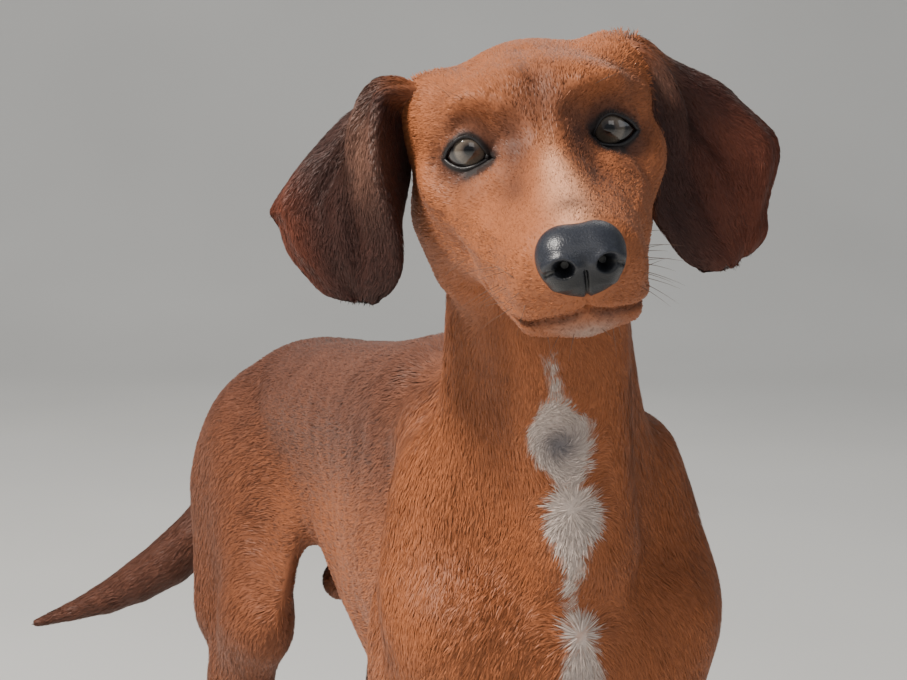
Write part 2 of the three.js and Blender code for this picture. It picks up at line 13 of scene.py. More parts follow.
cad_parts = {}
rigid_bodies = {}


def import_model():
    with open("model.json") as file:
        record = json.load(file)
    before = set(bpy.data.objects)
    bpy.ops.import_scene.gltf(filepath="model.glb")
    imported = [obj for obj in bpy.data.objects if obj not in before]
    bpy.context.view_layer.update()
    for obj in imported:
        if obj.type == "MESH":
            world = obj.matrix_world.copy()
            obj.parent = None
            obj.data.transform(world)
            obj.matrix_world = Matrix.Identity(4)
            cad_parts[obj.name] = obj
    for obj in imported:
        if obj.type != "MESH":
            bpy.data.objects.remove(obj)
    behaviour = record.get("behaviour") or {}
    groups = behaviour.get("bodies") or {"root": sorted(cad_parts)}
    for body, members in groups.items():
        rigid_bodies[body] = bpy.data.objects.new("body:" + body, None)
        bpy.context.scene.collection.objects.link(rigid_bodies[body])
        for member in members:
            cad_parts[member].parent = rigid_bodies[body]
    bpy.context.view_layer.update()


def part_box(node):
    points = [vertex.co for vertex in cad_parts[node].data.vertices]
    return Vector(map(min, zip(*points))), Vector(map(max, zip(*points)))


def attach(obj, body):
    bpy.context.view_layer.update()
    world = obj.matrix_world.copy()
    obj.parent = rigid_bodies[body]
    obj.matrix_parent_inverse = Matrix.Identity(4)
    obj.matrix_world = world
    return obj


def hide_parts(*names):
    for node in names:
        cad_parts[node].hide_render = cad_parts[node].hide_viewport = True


bl_info = {
    "name": "Standing Hound",
    "version": (1, 0, 0),
    "blender": (4, 5, 0),
    "location": "3D View > Sidebar > Hound",
    "description": "Builds the skin, eyes, nose, claws and coat of a standing short-haired hound",
    "category": "Add Mesh",
}

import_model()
MM = 0.001
FAR = 1e6
GROW = 2.5


# ---- Directions, turns and the head's own frame ----
def at(x, y, z):
    """A point or direction of the body, in millimetres: +X is the dog's left, -Y its front, +Z up."""
    return np.array([x, y, z], float)


def sizes(vectors):
    """The length of each vector."""
    return np.linalg.norm(vectors, axis=-1)


def unit(vectors, least=1e-9):
    """Vectors made one long."""
    return vectors / np.maximum(sizes(vectors), least)[..., None]


def turned(x, y, z, order):
    """The turn made by these three angles in degrees, about the axes in that order."""
    angle = {"X": math.radians(x), "Y": math.radians(y), "Z": math.radians(z)}
    made = np.eye(3)
    for axis in order:
        made = made @ np.array(Matrix.Rotation(angle[axis], 3, axis))
    return made


HEAD_AT = at(-42.5, -150.5, 635.5)
HEAD_TURN = turned(7, -8.8, -14.3, "ZXY")
EYE_RADIUS = 11.5
EYE_CENTRE = at(29, 4, 0)


def on_body(points):
    """Points in the head's own frame, as points of the body."""
    return HEAD_AT + points @ HEAD_TURN.T


def from_head(x, y, z):
    """A point given in the head's own frame, as a point of the body."""
    return HEAD_AT + HEAD_TURN @ at(x, y, z)


def in_head(points):
    """Points of the body in the head's own frame."""
    return (points - HEAD_AT) @ HEAD_TURN


def middle(node):
    """The middle of a CAD node's box, in millimetres."""
    low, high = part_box(node)
    return np.array((low + high) / 2) / MM


# The packed frame has its origin under the middle of the dog. The eyes show where the body lies in it.
SHIFT = (middle("eye_left") + middle("eye_right")) / 2 - from_head(0, EYE_CENTRE[1], 0)


def placed(points):
    """Points of the body, in millimetres, as points of the packed frame, in metres."""
    return (np.asarray(points) + SHIFT) * MM


def unplaced(points):
    """Points of the packed frame, in metres, as points of the body."""
    return np.asarray(points) / MM - SHIFT


# ---- Flesh: pieces with a signed distance, melted together ----
class Flesh:
    """A piece of flesh: how far points are from its surface, its box, and how to shape a ball into it.

    The shaped ball is a little larger than the flesh, so that gaps that melting fills start closed.
    """

    def __init__(self, measure, low, high, shape=None):
        self.measure, self.low, self.high, self.shape = measure, low, high, shape


def limb(a, b, start, end, flat=1.0):
    """A tapered limb from a to b, squeezed across X to the share flat of its width."""
    along = b - a
    squeeze = np.array([1 / flat, 1, 1])

    def measure(points):
        d = points - a
        t = np.clip(d @ along / (along @ along), 0, 1)
        d = (d - t[:, None] * along) * squeeze
        return (np.sqrt((d * d).sum(1)) - start - (end - start) * t) * min(1, flat)

    def shape(ball):
        far = (ball @ along > 0)[:, None]
        return np.where(far, b + ball * (end + GROW) / squeeze, a + ball * (start + GROW) / squeeze)

    reach = max(start, end)
    return Flesh(measure, np.minimum(a, b) - reach, np.maximum(a, b) + reach, shape)


def egg(centre, radii, tilt=(0, 0, 0)):
    """An egg with three radii, tilted by angles about X, Y and Z."""
    radii = np.array(radii, float)
    axes = turned(*tilt, "XYZ")

    def measure(points):
        d = (points - centre) @ axes / radii
        near = np.sqrt((d * d).sum(1))
        slope = np.sqrt(((d / radii) ** 2).sum(1))
        return np.where(near < 1e-6, -radii.min(), near * (near - 1) / np.maximum(slope, 1e-9))

    def shape(ball):
        return centre + (ball * (radii + GROW)) @ axes.T

    return Flesh(measure, centre - radii.max(), centre + radii.max(), shape)


def melt(soft, pieces):
    """Pieces melted together: where two are within soft of each other, the surface fills between them."""
    reach = soft + 16

    def measure(points):
        near = np.full(len(points), FAR)
        for piece in pieces:
            pick = in_box(points, piece.low - reach, piece.high + reach)
            if len(pick):
                other, here = piece.measure(points[pick]), near[pick]
                h = np.maximum(soft - np.abs(here - other), 0) / soft
                near[pick] = np.minimum(here, other) - h * h * soft / 4
        return near

    made = Flesh(measure, np.min([p.low for p in pieces], 0), np.max([p.high for p in pieces], 0))
    made.pieces = pieces
    return made


def in_head_frame(flesh):
    """Flesh described in the head's frame, as flesh of the body."""
    corners = np.array([[x, y, z] for x in (0, 1) for y in (0, 1) for z in (0, 1)], float)
    corners = on_body(flesh.low + corners * (flesh.high - flesh.low))
    made = Flesh(lambda points: flesh.measure(in_head(points)), corners.min(0), corners.max(0))
    made.pieces = [
        Flesh(None, None, None, lambda ball, p=p: on_body(p.shape(ball @ HEAD_TURN)))
        for p in flesh.pieces
    ]
    return made


def both(make):
    """What make gives for the left side and for the right."""
    return [*make(1), *make(-1)]


def side(points, s):
    """Points of the left side as they are if s is 1, or mirrored to the right if it is -1."""
    return points * at(s, 1, 1)


# ---- Landmarks of the body ----
WITHERS, BACK, CROUP, BRISKET = 524, 505, 487, 268
LEAN = at(5, 0, 0)
ELBOW, SHOULDER, BLADE_TOP = at(60, 4, 292), at(52.5, -64, 404), at(39, 12, 480)
CARPUS, FETLOCK = at(57, -8, 122), at(57, -20, 44)
HIP, KNEE, HOCK, HEEL = at(46, 372, 410), at(56, 337, 306), at(54, 440, 150), at(54, 434, 42)
TAIL_ROOT = at(0, 424, 440)
NECK_BASE, NECK_TOP = at(0, -42, 458), from_head(0, 64, -22)
FORE_REACH, HIND_REACH = 46, 43
TOE_GAP, TOE_TALL = 11.8, 25
TOES = (-1.5, -0.5, 0.5, 1.5)


def trunk_flesh():
    """The trunk: chest, keel, belly, back, loins and croup."""
    return melt(30, [
        egg(at(0, 84, 420), (58, 142, 87), (-3, 0, 0)),
        egg(at(0, 50, 362), (33, 102, 86), (-4, 0, 0)),
        egg(at(0, -32, 390), (54, 60, 82)),
        limb(at(0, -78, 396), at(0, -82, 440), 18, 13),
        egg(at(0, -64, 410), (34, 30, 58), (-4, 0, 0)),
        limb(at(0, -56, 336), at(0, 64, BRISKET + 26), 26, 26),
        limb(at(0, 60, 295), at(0, 215, 347), 25, 26),
        limb(at(0, -8, WITHERS - 35), at(0, 60, WITHERS - 34), 28, 26, 0.8),
        egg(at(0, -14, 500), (22, 34, 32)),
        egg(at(0, 240, BACK - 76), (45, 105, 56)),
        limb(at(0, 160, 368), at(0, 330, 402), 36, 30),
        limb(at(0, 256, 360), at(0, 324, 331), 9, 15),
        egg(at(0, 362, 415), (50, 82, 51)),
        limb(at(0, 376, CROUP - 42), TAIL_ROOT, 36, 22),
        *both(lambda s: [
            limb(at(22 * s, 66, WITHERS - 38), at(23 * s, 345, CROUP - 38), 34, 33),
            egg(at(38 * s, 376, 405), (33, 58, 44)),
            limb(at(34 * s, 416, 404), at(42 * s, 428, 366), 28, 26),
        ]),
    ])


def shoulder_flesh(s):
    """A shoulder: blade, upper arm and the breast muscle beside it."""
    return [
        limb(side(BLADE_TOP, s) + LEAN, side(SHOULDER, s), 26, 26, 0.9),
        egg(at(41 * s, -26, 444) + LEAN, (25, 32, 48)),
        limb(side(SHOULDER, s), side(ELBOW, s), 25, 22),
        egg(at(54 * s, -6, 372), (22, 42, 56), (-18, 0, 0)),
        egg(at(34 * s, -68, 376), (33, 30, 52), (-8, 0, -12 * s)),
        limb(at(46.5 * s + 1, -37, 474), at(56 * s + 3, -44, 420), 23, 26),
    ]


def thigh_flesh(s):
    """A thigh, with the fold of the flank in front of it."""
    return [
        limb(side(HIP, s), side(KNEE, s), 48, 30, 0.7),
        limb(at(51 * s, 408, 374), at(60 * s, 400, 300), 43, 34, 0.72),
        limb(at(42 * s, 292, 372), at(50 * s, 308, 318), 15, 19, 0.5),
    ]


def fore_flesh(s):
    """A foreleg from the elbow to the pastern."""
    carpus, elbow = side(CARPUS, s), side(ELBOW, s)
    return melt(12, [
        limb(elbow, carpus + (elbow - carpus) * 0.45, 26, 19, 0.85),
        limb(elbow, carpus, 19, 15.5),
        limb(at(60 * s, 24, 298), at(59 * s, 18, 274), 14, 10),
        egg(carpus + at(0, 1, 0), (18.5, 17.5, 22)),
        limb(at(57 * s, 12, 112), at(57 * s, 9, 98), 9, 7),
        limb(carpus, side(FETLOCK, s), 15.5, 17, 0.92),
    ])


def hind_flesh(s):
    """A hind leg from the knee to the pastern."""
    return melt(12, [
        limb(side(KNEE, s), at(56 * s, 390, 226), 28, 23, 0.8),
        limb(at(57 * s, 384, 256), side(HOCK, s), 28, 14.5, 0.8),
        egg(at(56 * s, 314, 306), (14, 14, 19)),
        limb(at(54 * s, 414, 236), at(54 * s, 459, 164), 10, 8.5),
        egg(side(HOCK, s) + at(0, 4, 0), (16.5, 20, 22)),
        limb(at(54 * s, 456, 160), at(54 * s, 452, 138), 11, 10),
        limb(side(HOCK, s), side(HEEL, s), 15, 14.5, 0.9),
    ])


def paw_flesh(heel, s, reach):
    """A pad with toes that fan out in front of it, each a knuckle and a tip."""
    heel = side(heel, s)
    pieces = [
        limb(heel, at(heel[0], heel[1] - reach * 0.42, 23), 16, 19),
        egg(at(heel[0], heel[1] - 9, 12), (17, 17, 14)),
    ]
    for i in TOES:
        inner = abs(i) < 1
        far, wide = reach * (1 if inner else 0.8), i * TOE_GAP
        knuckle = at(heel[0] + wide, heel[1] - far * 0.66, TOE_TALL - (8 if inner else 11))
        tip = at(heel[0] + wide * 1.12, heel[1] - far, 8.5)
        pieces.append(limb(at(heel[0] + wide * 0.7, heel[1] - far * 0.2, 24), knuckle, 11, 11, 0.8))
        pieces.append(limb(knuckle, tip, 10, 9.5, 0.8))
    return melt(5, pieces)


def neck_flesh():
    """The neck: its core, nape and throat, and the muscles along its sides."""
    return [
        limb(NECK_BASE, NECK_TOP, 52, 42, 0.7),
        limb(at(0, 14, 485), from_head(0, 77, -8), 32, 26, 0.78),
        limb(at(0, -74, 448), from_head(0, 38, -46), 26, 24),
        *both(lambda s: [
            limb(at(9 * s, -98, 446), from_head(19 * s, 48, -40), 10, 12),
            limb(at(34 * s, -46, 446), from_head(17 * s, 64, -14), 24, 13),
        ]),
    ]


def head_flesh():
    """The head without its ears, in the head's own frame."""
    return melt(13, [
        egg(at(0, 46, -4), (46, 56, 39)),
        egg(at(0, 12, 7), (33, 30, 25)),
        egg(at(0, 92, 0), (27, 20, 24)),
        limb(at(0, -4, -6), at(0, -90, -23), 15, 11),
        limb(at(0, -60, -33), at(0, -90, -37), 20, 15),
        limb(at(0, 10, -51), at(0, -70, -54), 16, 10),
        egg(at(0, -79, -54), (14, 12, 9)),
        egg(at(0, 36, -44), (30, 42, 24)),
        *both(lambda s: [
            egg(at(40 * s, 20, -14), (13, 30, 14)),
            egg(at(42 * s, 40, 11.5 + 2.5 * s), (13, 18, 17)),
            egg(at(34 * s, 46, 2 + 2 * s), (17, 34, 26.5 + 1.5 * s)),
            limb(at(24 * s, 10, 15), at(37 * s, 34, 13), 9, 11),
            egg(at(22 * s, 0, 17), (14, 10, 9)),
            limb(at(15 * s, 2, 10), at(40 * s, 12, 8), 6, 6),
            limb(at(17 * s, 2, -11), at(39 * s, 13, -11), 6, 6),
            limb(at(17 * s, -10, -25), at(12 * s, -82, -31), 17, 13),
            limb(at(18.5 * s - 0.5, -24, -42), at(14.5 * s - 0.5, -76, -42), 10, 11.5),
            limb(at(31 * s, 6, -24), at(23.5 * s, -38, -33), 14, 11),
            egg(at(33 * s - 1, 34, -33), (15, 30, 25)),
            limb(at(30 * s, 40, -46), at(16 * s, -66, -55), 13, 9),
        ]),
        limb(at(-41, 36, -33), at(-37, 46, -58), 16, 14),
    ])


def smooth_line(points, count):
    """count points, evenly spaced, on the smooth line through these points."""
    points = np.array(points, float)
    ends = np.vstack([2 * points[0] - points[1], points, 2 * points[-1] - points[-2]])
    t = np.linspace(0, 1, 24, endpoint=False)[:, None]
    fine = []
    for a, b, c, d in zip(ends, ends[1:], ends[2:], ends[3:]):
        fine.append(b + 0.5 * t * (c - a + t * (2 * a - 5 * b + 4 * c - d + t * (3 * (b - c) + d - a))))
    fine = np.vstack([*fine, points[-1:]])
    along = np.append(0, np.cumsum(sizes(np.diff(fine, axis=0))))
    even = np.linspace(0, along[-1], count)
    return np.stack([np.interp(even, along, fine[:, i]) for i in range(3)], 1)


TAIL = [
    at(0, 392, 446), at(0, 438, 438), at(-4, 474, 410), at(-28, 494, 364),
    at(-70, 506, 315), at(-119, 532, 278), at(-171, 558, 255),
]


def tail_radius(t):
    """How thick the tail is at this share of its length."""
    return 25 - 21 * t**0.85 + 6.5 * math.sin(math.pi * t) + 3.5 * math.exp(-(((t - 0.72) / 0.18) ** 2))


def tail_flesh(links=12):
    """The tail, as a chain of tapered links."""
    line = smooth_line(TAIL, links + 1)
    return [
        limb(line[i], line[i + 1], tail_radius(i / links), tail_radius((i + 1) / links))
        for i in range(links)
    ]


def body_flesh():
    """The whole dog's flesh but its ears, out to the tips of the coat."""
    body = melt(22, [trunk_flesh(), *both(shoulder_flesh), *both(thigh_flesh), *neck_flesh()])
    upper = melt(16, [body, in_head_frame(head_flesh()), melt(2, tail_flesh())])
    legs = both(lambda s: [
        fore_flesh(s), paw_flesh(FETLOCK, s, FORE_REACH), hind_flesh(s), paw_flesh(HEEL, s, HIND_REACH),
    ])
    return melt(14, [upper, *legs])


def leaves(flesh):
    """The single pieces that melted flesh is made of."""
    pieces = getattr(flesh, "pieces", None)
    return [leaf for piece in pieces for leaf in leaves(piece)] if pieces else [flesh]


# ---- Moving points onto flesh ----
def slope(measure, points, step=0.4):
    """How far the points are from the surface, and the way out of it."""
    here = measure(points)
    way = np.stack([measure(points + step * axis) - here for axis in np.eye(3)], 1)
    return here, unit(way)


def settle(points, measure, level, rounds=3, most=5.0):
    """Moves points onto the surface where the distance is level."""
    for _ in range(rounds):
        here, way = slope(measure, points)
        points = points - np.clip(here - level, -most, most)[:, None] * way
    return points


def relax(points, edges, rounds, share=0.5):
    """Draws each point towards the middle of its neighbours."""
    a, b = edges.T
    count = np.bincount(a, minlength=len(points)) + np.bincount(b, minlength=len(points))
    count = np.maximum(count, 1)[:, None]
    share = np.asarray(share, float)
    share = share[:, None] if share.ndim else share
    for _ in range(rounds):
        near = np.stack([
            np.bincount(a, points[b, i], len(points)) + np.bincount(b, points[a, i], len(points))
            for i in range(3)
        ], 1)
        points = points + share * (near / count - points)
    return points


# ---- Reading, writing and shaping meshes ----
def mesh_object(name, points, faces):
    """A new object from points in metres and faces that all have the same number of corners."""
    mesh = bpy.data.meshes.new(name)
    faces = np.asarray(faces, np.int32)
    count, corners = faces.shape
    mesh.vertices.add(len(points))
    put(mesh.vertices, "co", points)
    mesh.loops.add(count * corners)
    put(mesh.loops, "vertex_index", faces, np.int32)
    mesh.polygons.add(count)
    put(mesh.polygons, "loop_start", np.arange(0, count * corners, corners), np.int32)
    mesh.update(calc_edges=True)
    mesh.validate()
    obj = bpy.data.objects.new(name, mesh)
    bpy.context.collection.objects.link(obj)
    return obj


def held(items, name, width=1, kind=np.float32):
    """The values of a property of a mesh's items: one each, or a row of this width each."""
    flat = np.empty(len(items) * width, kind)
    items.foreach_get(name, flat)
    return flat.reshape(-1, width) if width > 1 else flat


def put(items, name, values, kind=np.float32):
    """Sets a property of a mesh's items from an array."""
    items.foreach_set(name, np.asarray(values, kind).ravel())


def read_points(mesh):
    return held(mesh.vertices, "co", 3).astype(float)


def write_points(mesh, points):
    put(mesh.vertices, "co", points)
    mesh.update()


def read_edges(mesh):
    return held(mesh.edges, "vertices", 2, np.int32)


def read_normals(mesh):
    return held(mesh.vertices, "normal", 3).astype(float)


def alone(obj):
    """Makes obj the one selected object."""
    bpy.ops.object.select_all(action="DESELECT")
    obj.select_set(True)
    bpy.context.view_layer.objects.active = obj


def apply(obj, kind, **settings):
    """Adds a modifier of this kind and applies it."""
    alone(obj)
    modifier = obj.modifiers.new(kind.lower(), kind)
    for name, value in settings.items():
        setattr(modifier, name, value)
    bpy.ops.object.modifier_apply(modifier=modifier.name)


def in_edit(obj, chosen, *steps):
    """Runs edit-mode steps on the chosen vertices of obj."""
    alone(obj)
    mesh = obj.data
    mesh.vertices.foreach_set("select", chosen)
    mesh.edges.foreach_set("select", chosen[read_edges(mesh)].all(1))
    picked = np.zeros(len(mesh.polygons), bool)
    for i, face in enumerate(mesh.polygons):
        picked[i] = chosen[list(face.vertices)].all()
    mesh.polygons.foreach_set("select", picked)
    bpy.ops.object.mode_set(mode="EDIT")
    for step in steps:
        step()
    bpy.ops.object.mode_set(mode="OBJECT")


def in_box(points, low, high):
    """Which points lie in a box."""
    return np.flatnonzero(np.all((points > low) & (points < high), axis=1))


def smooth_step(value, low, high):
    """From 0 at low to 1 at high, smoothly."""
    t = np.clip((value - low) / (high - low), 0, 1)
    return t * t * (3 - 2 * t)


def bell(distance, width):
    """1 at no distance, falling smoothly to 0 past the width."""
    return np.exp(-((distance / width) ** 2))


def line_distance(points, line):
    """How far points are from a line through these points, and which way the line runs nearest to each."""
    best = np.full(len(points), FAR)
    way = np.zeros((len(points), 3))
    for a, b in zip(line, line[1:]):
        along = b - a
        t = np.clip((points - a) @ along / (along @ along), 0, 1)
        far = sizes(points - a - t[:, None] * along)
        nearer = far < best
        best[nearer] = far[nearer]
        way[nearer] = unit(along)
    return best, way


# ---- Eyes ----
LID = 1.5
# The cornea: how far it stands out over the ball, and how far round from the gaze its fall starts and ends.
CORNEA_RISE, CORNEA_TOP, CORNEA_EDGE = 0.9, 0.15, 0.66
GAZE = at(-0.14, -0.984, 0.11)
GAZE_ACROSS = unit(np.cross(at(0, 0, 1), GAZE))
GAZE_UP = np.cross(GAZE, GAZE_ACROSS)
# The opening of the lids as seen along the gaze: outward from the middle of the eye, and up.
OUTER_CORNER, INNER_CORNER = (12.0, -2.8), (-8.4, -4.2)
UPPER_LID = [(9.4, 1.6), (5.0, 4.9), (1.0, 6.1), (-3.0, 4.6), (-6.4, 0.2)]
LOWER_LID = [(-5.2, -6.0), (-1.0, -7.4), (4.0, -7.8), (8.6, -6.0)]


def eye_centre(s):
    """The middle of an eye, in the head's own frame."""
    return side(EYE_CENTRE, s)


def spread(flat):
    """Points as seen along the gaze, laid out by how far round the ball they are."""
    seen = sizes(flat)[:, None] / (EYE_RADIUS + LID)
    return flat * np.arcsin(np.minimum(seen, 1)) / np.maximum(seen, 1e-6)


def almond(count=72):
    """The opening of the lids, as a closed line laid out round the ball."""
    def arc(points, number):
        return smooth_line([(*p, 0) for p in points], number)[:-1, :2]

    upper = arc([OUTER_CORNER, *UPPER_LID, INNER_CORNER], count // 2 + 1)
    lower = arc([INNER_CORNER, *LOWER_LID, OUTER_CORNER], count // 2 + 1)
    return spread(np.vstack([upper, lower]))


def beside_almond(flat):
    """How far outside the opening of the lids points in its plane are; inside it, less than nothing."""
    line = almond()
    best = np.full(len(flat), FAR)
    crossings = np.zeros(len(flat), int)
    for a, b in zip(line, np.roll(line, -1, axis=0)):
        along = b - a
        t = np.clip((flat - a) @ along / (along @ along), 0, 1)
        best = np.minimum(best, sizes(flat - a - t[:, None] * along))
        spans = (a[1] > flat[:, 1]) != (b[1] > flat[:, 1])
        if a[1] != b[1]:
            crossings += spans & (flat[:, 0] < a[0] + (flat[:, 1] - a[1]) * along[0] / (b[1] - a[1]))
    return np.where(crossings % 2, -best, best)


def around_eye(points, s):
    """For points in the head's frame: how far from the eye's middle, and how far beside its lids' opening."""
    d = points - eye_centre(s)
    far = np.maximum(sizes(d), 1e-6)
    way = d / far[:, None]
    flat = np.stack([way @ GAZE_ACROSS * s, way @ GAZE_UP], 1)
    turn = np.arccos(np.clip(way @ GAZE, -1, 1)) / np.maximum(sizes(flat), 1e-6)
    return far, beside_almond(flat * turn[:, None] * (EYE_RADIUS + LID))


def near_eyes(local, reach):
    """For each side: which points are near its eye, how far from its middle and beside its lids they are."""
    for s in (1, -1):
        pick = np.flatnonzero(sizes(local - eye_centre(s)) < reach)
        yield (s, pick, *around_eye(local[pick], s))


def on_lids(flat, radius, s):
    """Points laid out round the ball, as body points at this radius from the middle of the eye."""
    turn = sizes(flat)[:, None] / (EYE_RADIUS + LID)
    side_way = unit(flat, 1e-6) * np.sin(turn)
    way = s * side_way[:, :1] * GAZE_ACROSS + side_way[:, 1:] * GAZE_UP + np.cos(turn) * GAZE
    return on_body(eye_centre(s) + way * radius)


# ---- Skin ----
def paw_near(points):
    """How much points belong to the paws: 1 on the toes, falling to 0 at the pasterns."""
    return 1 - smooth_step(points[:, 2], 26, 62)


def head_near(points):
    """How much points belong to the head, from 1 on the face to 0 behind the crown."""
    local = in_head(points)
    return 1 - smooth_step(local[:, 1] - 0.35 * np.minimum(local[:, 2] + 40, 0), 52, 84)


def coat_depth(points):
    """How deep under the tips of the coat the skin lies, in millimetres."""
    fine = np.maximum(head_near(points), paw_near(points))
    return 2.0 - 0.9 * fine


def skin_measure(body):
    """The distance from the skin, under its coat."""
    return lambda points: body.measure(points) + coat_depth(points)


def close_lids(points):
    """Draws the skin round each eye onto a ball a lid's thickness larger than the eye."""
    local = in_head(points)
    for s, pick, far, beside in near_eyes(local, 40):
        off = far - EYE_RADIUS - LID
        share = (1 - smooth_step(beside, 0.6, 8.0)) * (1 - smooth_step(off, 11, 22))
        way = (local[pick] - eye_centre(s)) / far[:, None]
        reach = np.where(way @ GAZE > 0, np.maximum(far - off * share, EYE_RADIUS + 1), far)
        local[pick] = eye_centre(s) + reach[:, None] * way
    return on_body(local)


# The line where the lips meet, from the middle to the corner of the mouth, on the left.
MOUTH = [
    (0, -98, -50), (8, -94, -53.5), (16, -86, -54.8), (22, -72, -55.5), (27, -55, -55.3), (30, -40, -54.3),
    (33, -28, -51.5),
]
# Creases and ridges of the skin: a line, how wide, how far out it stands. Each is also mirrored.
FACE_LINES = [
    (MOUTH, 1.8, -3.4),
    ([(9, -95, -48), (17, -85, -50), (24, -66, -51), (29, -46, -50)], 2.4, 1.0),
    ([(0, 34, 36), (0, 2, 28), (0, -18, 14), (0, -30, 4)], 4.5, -1.3),
    ([(14, -8, 16), (27, -4, 20), (40, 6, 16)], 4.5, 1.1),
    ([(8, 0, 27), (16, 10, 32), (20, 24, 34)], 5, 0.8),
    ([(6, -92, -58), (17, -78, -60), (24, -56, -61), (29, -34, -60)], 2.6, 0.7),
    ([(0, -109, -40), (0, -103, -44), (0, -99, -49)], 1.3, -1.2),
    ([(46, -4, -15), (36, -30, -20), (28, -62, -25)], 2.2, 0.7),
    ([(42, 2, -22), (34, -24, -28), (27, -50, -33)], 3, -0.6),
    ([(20, -14, -16), (15, -40, -14), (12, -66, -15)], 4, -0.7),
]
# Folds round the lids: how far outside their opening, how wide, how far out.
LID_FOLDS = [(1.6, 1.1, 0.5), (4.4, 1.3, -0.8), (7.2, 2.0, 0.4)]
RIBS = 8
BODY_LINES = [
    ([(39, 6, 486), (56, -30, 440), (60, -62, 404)], 7, 1.2),
    ([(60, 20, 470), (66, 22, 420), (66, 14, 360)], 8, -1.4),
    ([(20, -92, 440), (34, -84, 412), (46, -74, 396)], 6, -1.0),
    ([(62, 350, 330), (66, 372, 290), (60, 400, 250)], 9, -1.0),
]


def line_on_skin(line, s, measure, of_head=True):
    """A smooth line through these points of the left side, mirrored if s is -1 and drawn onto the skin."""
    made = side(smooth_line(line, 24), s)
    if of_head:
        made = on_body(made)
    return settle(made, measure, 0, rounds=4)


@functools.cache
def lips():
    """The lines where the lips meet, on the left and on the right."""
    measure = skin_measure(body_flesh())
    return both(lambda s: [line_on_skin(MOUTH, s, measure)])


def fold_skin(points, normals, measure):
    """Points of the skin, moved out or in along their creases and ridges."""
    out = np.zeros(len(points))
    local = in_head(points)
    for lines, of_head in ((FACE_LINES, True), (BODY_LINES, False)):
        for line, width, rise in lines:
            for s in (1, -1):
                laid = line_on_skin(line, s, measure, of_head)
                pick = in_box(points, laid.min(0) - 3 * width, laid.max(0) + 3 * width)
                if len(pick) and (s > 0 or max(x for x, y, z in line)):
                    out[pick] += rise * bell(line_distance(points[pick], laid)[0], width)
    for i in range(RIBS):
        rib = smooth_line([(0, 62 + 24 * i, 474), (0, 84 + 25 * i, 420), (0, 96 + 23 * i, 350)], 12)
        pick = np.flatnonzero(np.all(np.abs(points - rib.mean(0)) < (90, 50, 90), axis=1))
        out[pick] += 0.8 * bell(line_distance(points[pick] * at(0, 1, 1), rib)[0], 6)
    for _, pick, _, beside in near_eyes(local, 30):
        for where, width, rise in LID_FOLDS:
            out[pick] += rise * bell(beside - where, width)
    return points + out[:, None] * normals


EAR_THICK, EAR_WAVE = 3.4, 0.7
# Each ear as four lines from its root down to its tip: where it joins the skull, its front edge, its middle
# and its hind edge.
EARS = {
    "left": (
        [
            (32, 29, 17), (38, 38, 14), (44, 40, 2), (46, 38, -12), (46, 30, -26), (46.5, 22, -42),
            (53, 21, -58), (63, 21, -71.5),
        ],
        [
            (33, 32, 20), (42, 29, 25), (48.5, 25, 13), (49.5, 20, -2), (47, 17, -24), (45.5, 15, -39),
            (51, 15, -54), (57, 18, -66), (66, 23, -72.5),
        ],
        [(33, 42, 22), (50, 38, 28), (62, 36, 8), (69, 34, -8), (72, 30, -28), (74, 28, -50), (77, 29, -74)],
        [
            (33, 48, 22), (46, 51, 29.5), (66, 54, 15.5), (85, 56, 3), (95.5, 58, -9), (107, 57, -23),
            (108.5, 55.5, -31), (105.5, 53, -40), (99, 49, -54), (96.5, 44, -65), (89, 40, -70.5),
        ],
    ),
    "right": (
        [
            (-35, 28, 13), (-44, 42, 13), (-50, 44, 6), (-53, 42, -8), (-58, 34, -22), (-65, 23, -36),
            (-67.5, 20, -50), (-77, 19, -61.5),
        ],
        [
            (-36, 32, 16), (-50, 30, 22), (-61, 27, 22), (-65, 22, 13), (-67.5, 17, -3), (-66.5, 15, -20),
            (-65, 14, -38), (-67, 14, -50), (-72.5, 17, -58.5), (-80, 21, -62.5),
        ],
        [(-36, 40, 18), (-58, 40, 24), (-75, 34, 8), (-85, 30, -11), (-88, 28, -35), (-84.5, 26, -62.5)],
        [
            (-36, 46, 17), (-56, 47, 21), (-64, 48, 20), (-79, 54, 13), (-97, 56, -1.5), (-109.5, 54, -13.5),
            (-117, 52, -22), (-114.5, 50, -28.5), (-112.5, 46, -40), (-105.5, 40, -51), (-99.5, 34, -58),
            (-89, 27, -62),
        ],
    ),
}
# Folds of an ear: where across it at its root and at its tip, how wide, how far out, and between which shares
# of its length.
EAR_FOLDS = [
    (0.03, 0.03, 0.05, 1.8, 0.05, 0.8),
    (0.16, 0.46, 0.07, 6.4, 0.12, 0.62),
    (0.42, 0.68, 0.11, -7.0, 0.14, 0.76),
    (0.22, 0.42, 0.09, -4.6, 0.45, 0.95),
    (0.92, 0.82, 0.08, 3.6, 0.45, 0.95),
]


